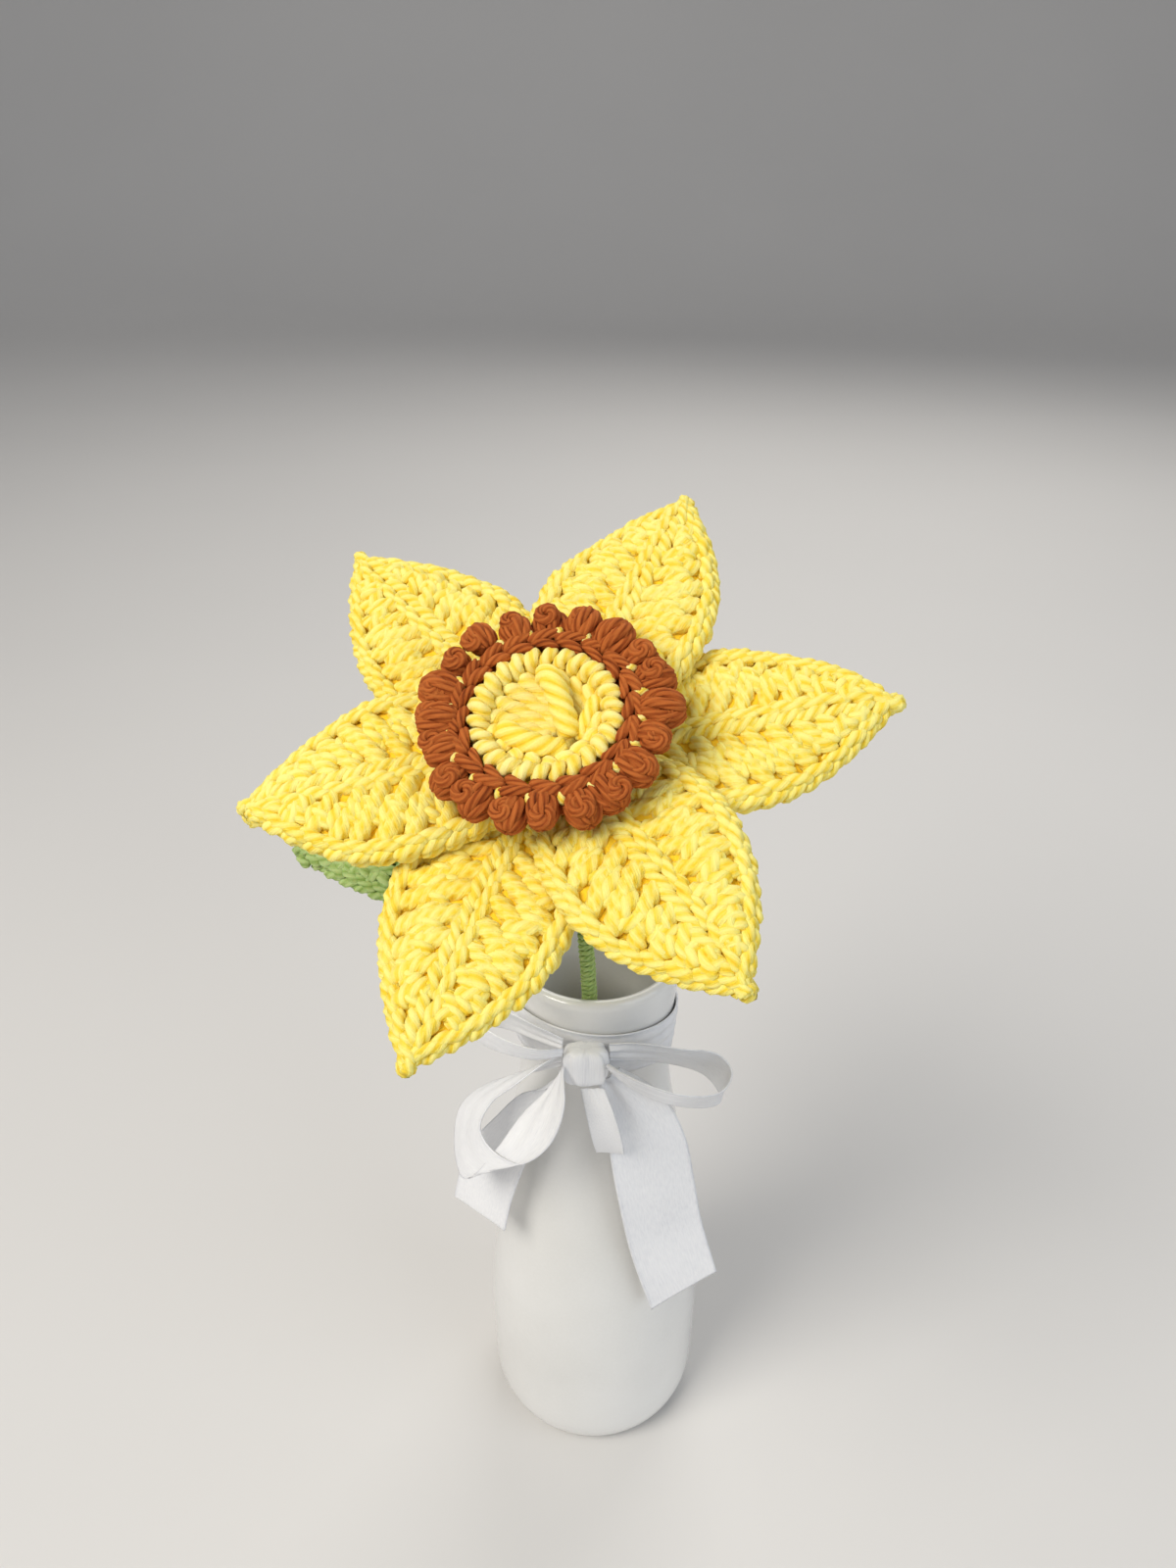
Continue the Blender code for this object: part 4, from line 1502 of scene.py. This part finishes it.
STRIPS = (
    Strip(
        "bow_loop_lower_left",
        (
            ((-6.8, -23.2, 129.8), (0.20, -0.40, 0.90), 2.8),
            ((-10.0, -27.0, 124.0), (0.60, -0.50, 0.62), 6.5),
            ((-14.5, -29.5, 115.5), (0.72, -0.42, 0.55), 8.0),
            ((-20.0, -29.0, 108.0), (0.66, -0.40, 0.64), 8.0),
            ((-25.0, -25.0, 104.5), (0.50, -0.30, 0.81), 8.0),
            ((-27.6, -20.5, 108.0), (0.42, -0.42, 0.80), 8.0),
            ((-25.5, -18.2, 115.5), (0.50, -0.55, 0.66), 8.0),
            ((-19.5, -19.0, 122.5), (0.50, -0.60, 0.62), 7.0),
            ((-12.5, -20.2, 128.0), (0.40, -0.50, 0.76), 5.0),
            ((-6.8, -20.8, 131.0), (0.15, -0.30, 0.94), 2.2),
        ),
        "folded",
    ),
    Strip(
        "bow_loop_upper_left",
        (
            ((-6.6, -23.4, 135.3), (0.10, -0.40, 0.90), 1.8),
            ((-12.5, -25.2, 136.4), (0.20, -0.50, 0.84), 3.4),
            ((-19.5, -23.8, 137.8), (0.20, -0.50, 0.84), 4.2),
            ((-24.6, -19.8, 138.4), (0.10, -0.40, 0.91), 4.4),
            ((-23.8, -16.2, 139.0), (0.10, -0.30, 0.95), 4.4),
            ((-18.0, -17.4, 138.6), (0.10, -0.40, 0.91), 4.0),
            ((-12.0, -19.6, 137.2), (0.10, -0.40, 0.91), 3.2),
            ((-6.6, -21.2, 135.7), (0.05, -0.20, 0.97), 1.8),
        ),
        "folded",
        pleats=0.4,
    ),
    Strip(
        "bow_loop_right",
        (
            ((2.6, -23.4, 131.4), (-0.10, -0.60, 0.80), 3.2),
            ((8.5, -27.0, 129.8), (0.10, -0.62, 0.78), 5.6),
            ((16.0, -27.4, 126.6), (0.20, -0.60, 0.77), 6.8),
            ((23.5, -24.4, 123.2), (0.20, -0.50, 0.84), 6.4),
            ((27.2, -19.8, 122.4), (0.10, -0.30, 0.94), 6.0),
            ((24.0, -17.0, 125.6), (0.10, -0.40, 0.90), 6.0),
            ((16.5, -18.4, 129.2), (0.10, -0.50, 0.86), 5.4),
            ((9.0, -20.0, 132.0), (0.05, -0.40, 0.91), 4.4),
            ((2.8, -20.6, 132.6), (0.0, -0.20, 0.98), 2.8),
        ),
        "folded",
    ),
    Strip(
        "bow_fold_middle",
        (
            ((-0.6, -24.0, 126.0), (0.95, -0.10, 0.10), 2.4),
            ((1.0, -26.6, 121.5), (0.95, -0.20, 0.15), 3.0),
            ((2.4, -27.2, 115.0), (0.95, -0.20, 0.15), 3.2),
            ((3.2, -26.0, 109.5), (0.95, -0.20, 0.10), 3.0),
        ),
        "hung",
        pleats=0.4,
    ),
    Strip(
        "ribbon_tail_left",
        (
            ((-7.4, -20.0, 125.6), (0.50, 0.10, 0.86), 3.0),
            ((-11.5, -18.6, 118.6), (0.82, -0.45, 0.36), 5.0),
            ((-16.4, -16.4, 108.0), (0.80, -0.52, 0.30), 7.0),
            ((-21.4, -14.8, 97.0), (0.78, -0.60, 0.20), 8.0),
            ((-24.8, -14.6, 86.0), (0.76, -0.64, 0.10), 8.2),
            ((-26.6, -15.0, 77.0), (0.76, -0.64, 0.06), 8.2),
        ),
        "hung",
    ),
    Strip(
        "ribbon_tail_right",
        (
            ((2.8, -20.9, 126.4), (0.70, 0.10, 0.70), 3.0),
            ((7.8, -21.6, 119.0), (0.86, 0.16, 0.46), 6.2),
            ((11.2, -22.4, 107.0), (0.92, 0.26, 0.24), 8.4),
            ((13.6, -22.6, 93.0), (0.93, 0.30, 0.18), 8.8),
            ((16.2, -22.6, 78.0), (0.90, 0.28, 0.30), 8.8),
            ((20.8, -23.0, 60.0), (0.84, 0.20, 0.50), 9.0),
        ),
        "hung",
    ),
)


@dataclass(frozen=True)
class Ribbon:
    """The bow: a band round the neck, a knot, loops and tails."""

    vase: Vase
    band_middle: float = 126.0
    band_half: float = 5.8
    rise_front: float = 4.0
    rise_left: float = 2.0
    band_clearance: float = 0.75
    neck_radius: float = 17.6
    knot: Span = (-2.0, -22.1, 131.0)
    knot_half: Span = (5.0, 3.0, 4.6)
    squareness: float = 0.62

    def band(self, satin: bpy.types.Material) -> None:
        """Makes the band: it follows the vase's side, with gathers that run round it.

        Args:
            satin: Its finish.
        """
        angle = np.linspace(0, TURN, 181)[None, :-1]
        across = np.linspace(-1, 1, 25)[:, None]
        middle = self.band_middle - self.rise_front * np.sin(angle) - self.rise_left * np.cos(angle)
        height = middle + self.band_half * across
        gathers = 0.22 * np.cos(across * 11 + 0.7 * np.sin(3 * angle)) * (1 - 0.3 * np.sin(angle))
        radius = self.vase.radius(height) + self.band_clearance + gathers
        points = np.stack([np.cos(angle) * radius, np.sin(angle) * radius, height], axis=-1)
        piece = ribbon_piece("ribbon_band", points, satin, wrap=True)

    def tie(self, satin: bpy.types.Material) -> None:
        """Makes the knot: a rounded block with upright folds, pinched at the waist.

        A point is c(v) s(u), s(v) s(u) and c(u) times the half sizes, where c and s are
        the cosine and sine raised to a power under one, which squares the block.

        Args:
            satin: Its finish.
        """
        u = np.linspace(0.0, math.pi, 49)[1:-1][:, None]
        v = np.linspace(0, TURN, 96, endpoint=False)[None, :]
        ring = np.sin(u) ** 0.5
        x = np.sign(np.cos(v)) * np.abs(np.cos(v)) ** self.squareness * ring
        y = np.sign(np.sin(v)) * np.abs(np.sin(v)) ** self.squareness * ring
        z = np.sign(np.cos(u)) * np.abs(np.cos(u)) ** 0.7 + 0 * v
        fold = 1 + 0.055 * np.cos(7 * v + 1.2 * z) - 0.10 * (1 - z**2)
        points = np.stack([x * fold, y * fold, z], axis=-1) * np.array(self.knot_half)
        points = np.array(self.knot) + points
        skin = Skin.empty()
        add_surface(skin, points, (1.0, 4.0), wrap=True)
        add_caps(skin, *points.shape[:2])
        piece = place_piece(skin, "ribbon_knot_satin", satin, Slot.RIBBON, "ribbon_knot")

    def build(self, satin: bpy.types.Material) -> None:
        """Makes the band, the knot and every strip, and works out each strip's flat cut.

        Args:
            satin: Their finish.
        """
        self.band(satin)
        self.tie(satin)
        for strip in STRIPS:
            piece = ribbon_piece(strip.name, strip.surface(96, 33), satin, wrap=False)
            size, area = strip.flat()


# ---------------------------------------------------------------- stage, light, camera


@dataclass(frozen=True)
class Lamp:
    """A square soft light: its place and side in metres, its power and its tint."""

    name: str
    place: Span
    side: float
    watts: float
    tint: Span

    def light(self, target: Span) -> None:
        """Adds the lamp to the scene, turned to a target.

        Args:
            target: Where it looks, in metres.
        """
        light = bpy.data.lights.new(self.name, "AREA")
        light.size, light.energy, light.color = self.side, self.watts, self.tint
        lamp = bpy.data.objects.new(self.name, light)
        lamp.location = self.place
        aim = Vector(target) - Vector(self.place)
        lamp.rotation_euler = aim.to_track_quat("-Z", "Y").to_euler()
        bpy.context.scene.collection.objects.link(lamp)


@dataclass(frozen=True)
class Studio:
    """A pale sweep, soft lights and the camera."""

    camera_place: Span = (-1.5, -198.0, 303.0)
    pitch_down: float = 31.0
    focal: float = 27.045
    sensor: float = 36.0
    target: Span = (0.0, -0.01, 0.15)
    lamps: tuple = (
        Lamp("key", (-0.55, -0.50, 0.95), 0.55, 10.2, (1.0, 0.97, 0.92)),
        Lamp("fill", (0.80, -0.55, 0.55), 0.9, 3.8, (0.82, 0.90, 1.0)),
        Lamp("back", (0.25, 0.85, 0.80), 0.8, 4.6, (1.0, 0.98, 0.95)),
    )
    room_colour: tuple = (0.90, 0.93, 1.0, 1.0)
    room_strength: float = 0.33
    floor_colour: Span = (0.66, 0.64, 0.61)
    floor_half: float = 2600.0
    floor_near: float = -1400.0
    floor_far: float = 1500.0
    bend_radius: float = 700.0
    wall_rise: float = 2200.0

    def sweep(self) -> None:
        """Makes the floor: flat, then a quarter turn, then straight up as a backdrop."""
        run = np.linspace(0, 1, 61)[:, None]
        x = np.linspace(self.floor_half, -self.floor_half, 3)[None, :]
        flat, up = 0.45, 0.7
        bend = np.clip((run - flat) / (up - flat), 0, 1) * TURN / 4
        floor = self.floor_near + (self.floor_far - self.floor_near) * run / flat
        y = np.where(run < flat, floor, self.floor_far + self.bend_radius * np.sin(bend))
        z = self.bend_radius * (1 - np.cos(bend))
        z = z + np.where(run > up, (run - up) / (1 - up) * self.wall_rise, 0)
        skin = Skin.empty()
        add_surface(skin, np.stack(np.broadcast_arrays(x, y, z), axis=-1), (10.0, 10.0), wrap=False)
        floor = skin.build("stage_sweep")
        floor.data.materials.append(PlainFinish("pale_stage", self.floor_colour).make())

    def build(self) -> None:
        """Sets the sweep, the lights, the world and the camera."""
        self.sweep()
        for lamp in self.lamps:
            lamp.light(self.target)
        world = bpy.data.worlds.new("soft_room")
        world.use_nodes = True
        background = world.node_tree.nodes["Background"]
        background.inputs["Color"].default_value = self.room_colour
        background.inputs["Strength"].default_value = self.room_strength
        bpy.context.scene.world = world
        camera = bpy.data.cameras.new("camera")
        camera.lens, camera.sensor_width, camera.clip_start = self.focal, self.sensor, 0.01
        eye = bpy.data.objects.new("camera", camera)
        eye.location = Vector(self.camera_place) * MM
        eye.rotation_euler = (math.radians(90.0 - self.pitch_down), 0.0, 0.0)
        bpy.context.scene.collection.objects.link(eye)
        bpy.context.scene.camera = eye
        bpy.context.scene.view_settings.view_transform = "Standard"


def main() -> None:
    """Builds the studio and then the object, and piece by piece."""
    logging.basicConfig(level=logging.INFO, format="%(name)s %(message)s")
    Studio().build()
    yellow = YELLOW.make()
    Petals().build(yellow, YELLOW_GAP_SHADE.make())
    Corona().build(yellow, CREAM.make(), RUST.make())
    Greenery().build(GREEN.make(), GREEN_GAP_SHADE.make())
    vase = Vase()
    vase.build(GlazeFinish().make())
    Ribbon(vase).build(SatinFinish().make())
    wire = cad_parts["stem_wire"]
    wire.data.materials.clear()
    wire.data.materials.append(WireFinish().make())


if __name__ == "__main__":
    main()
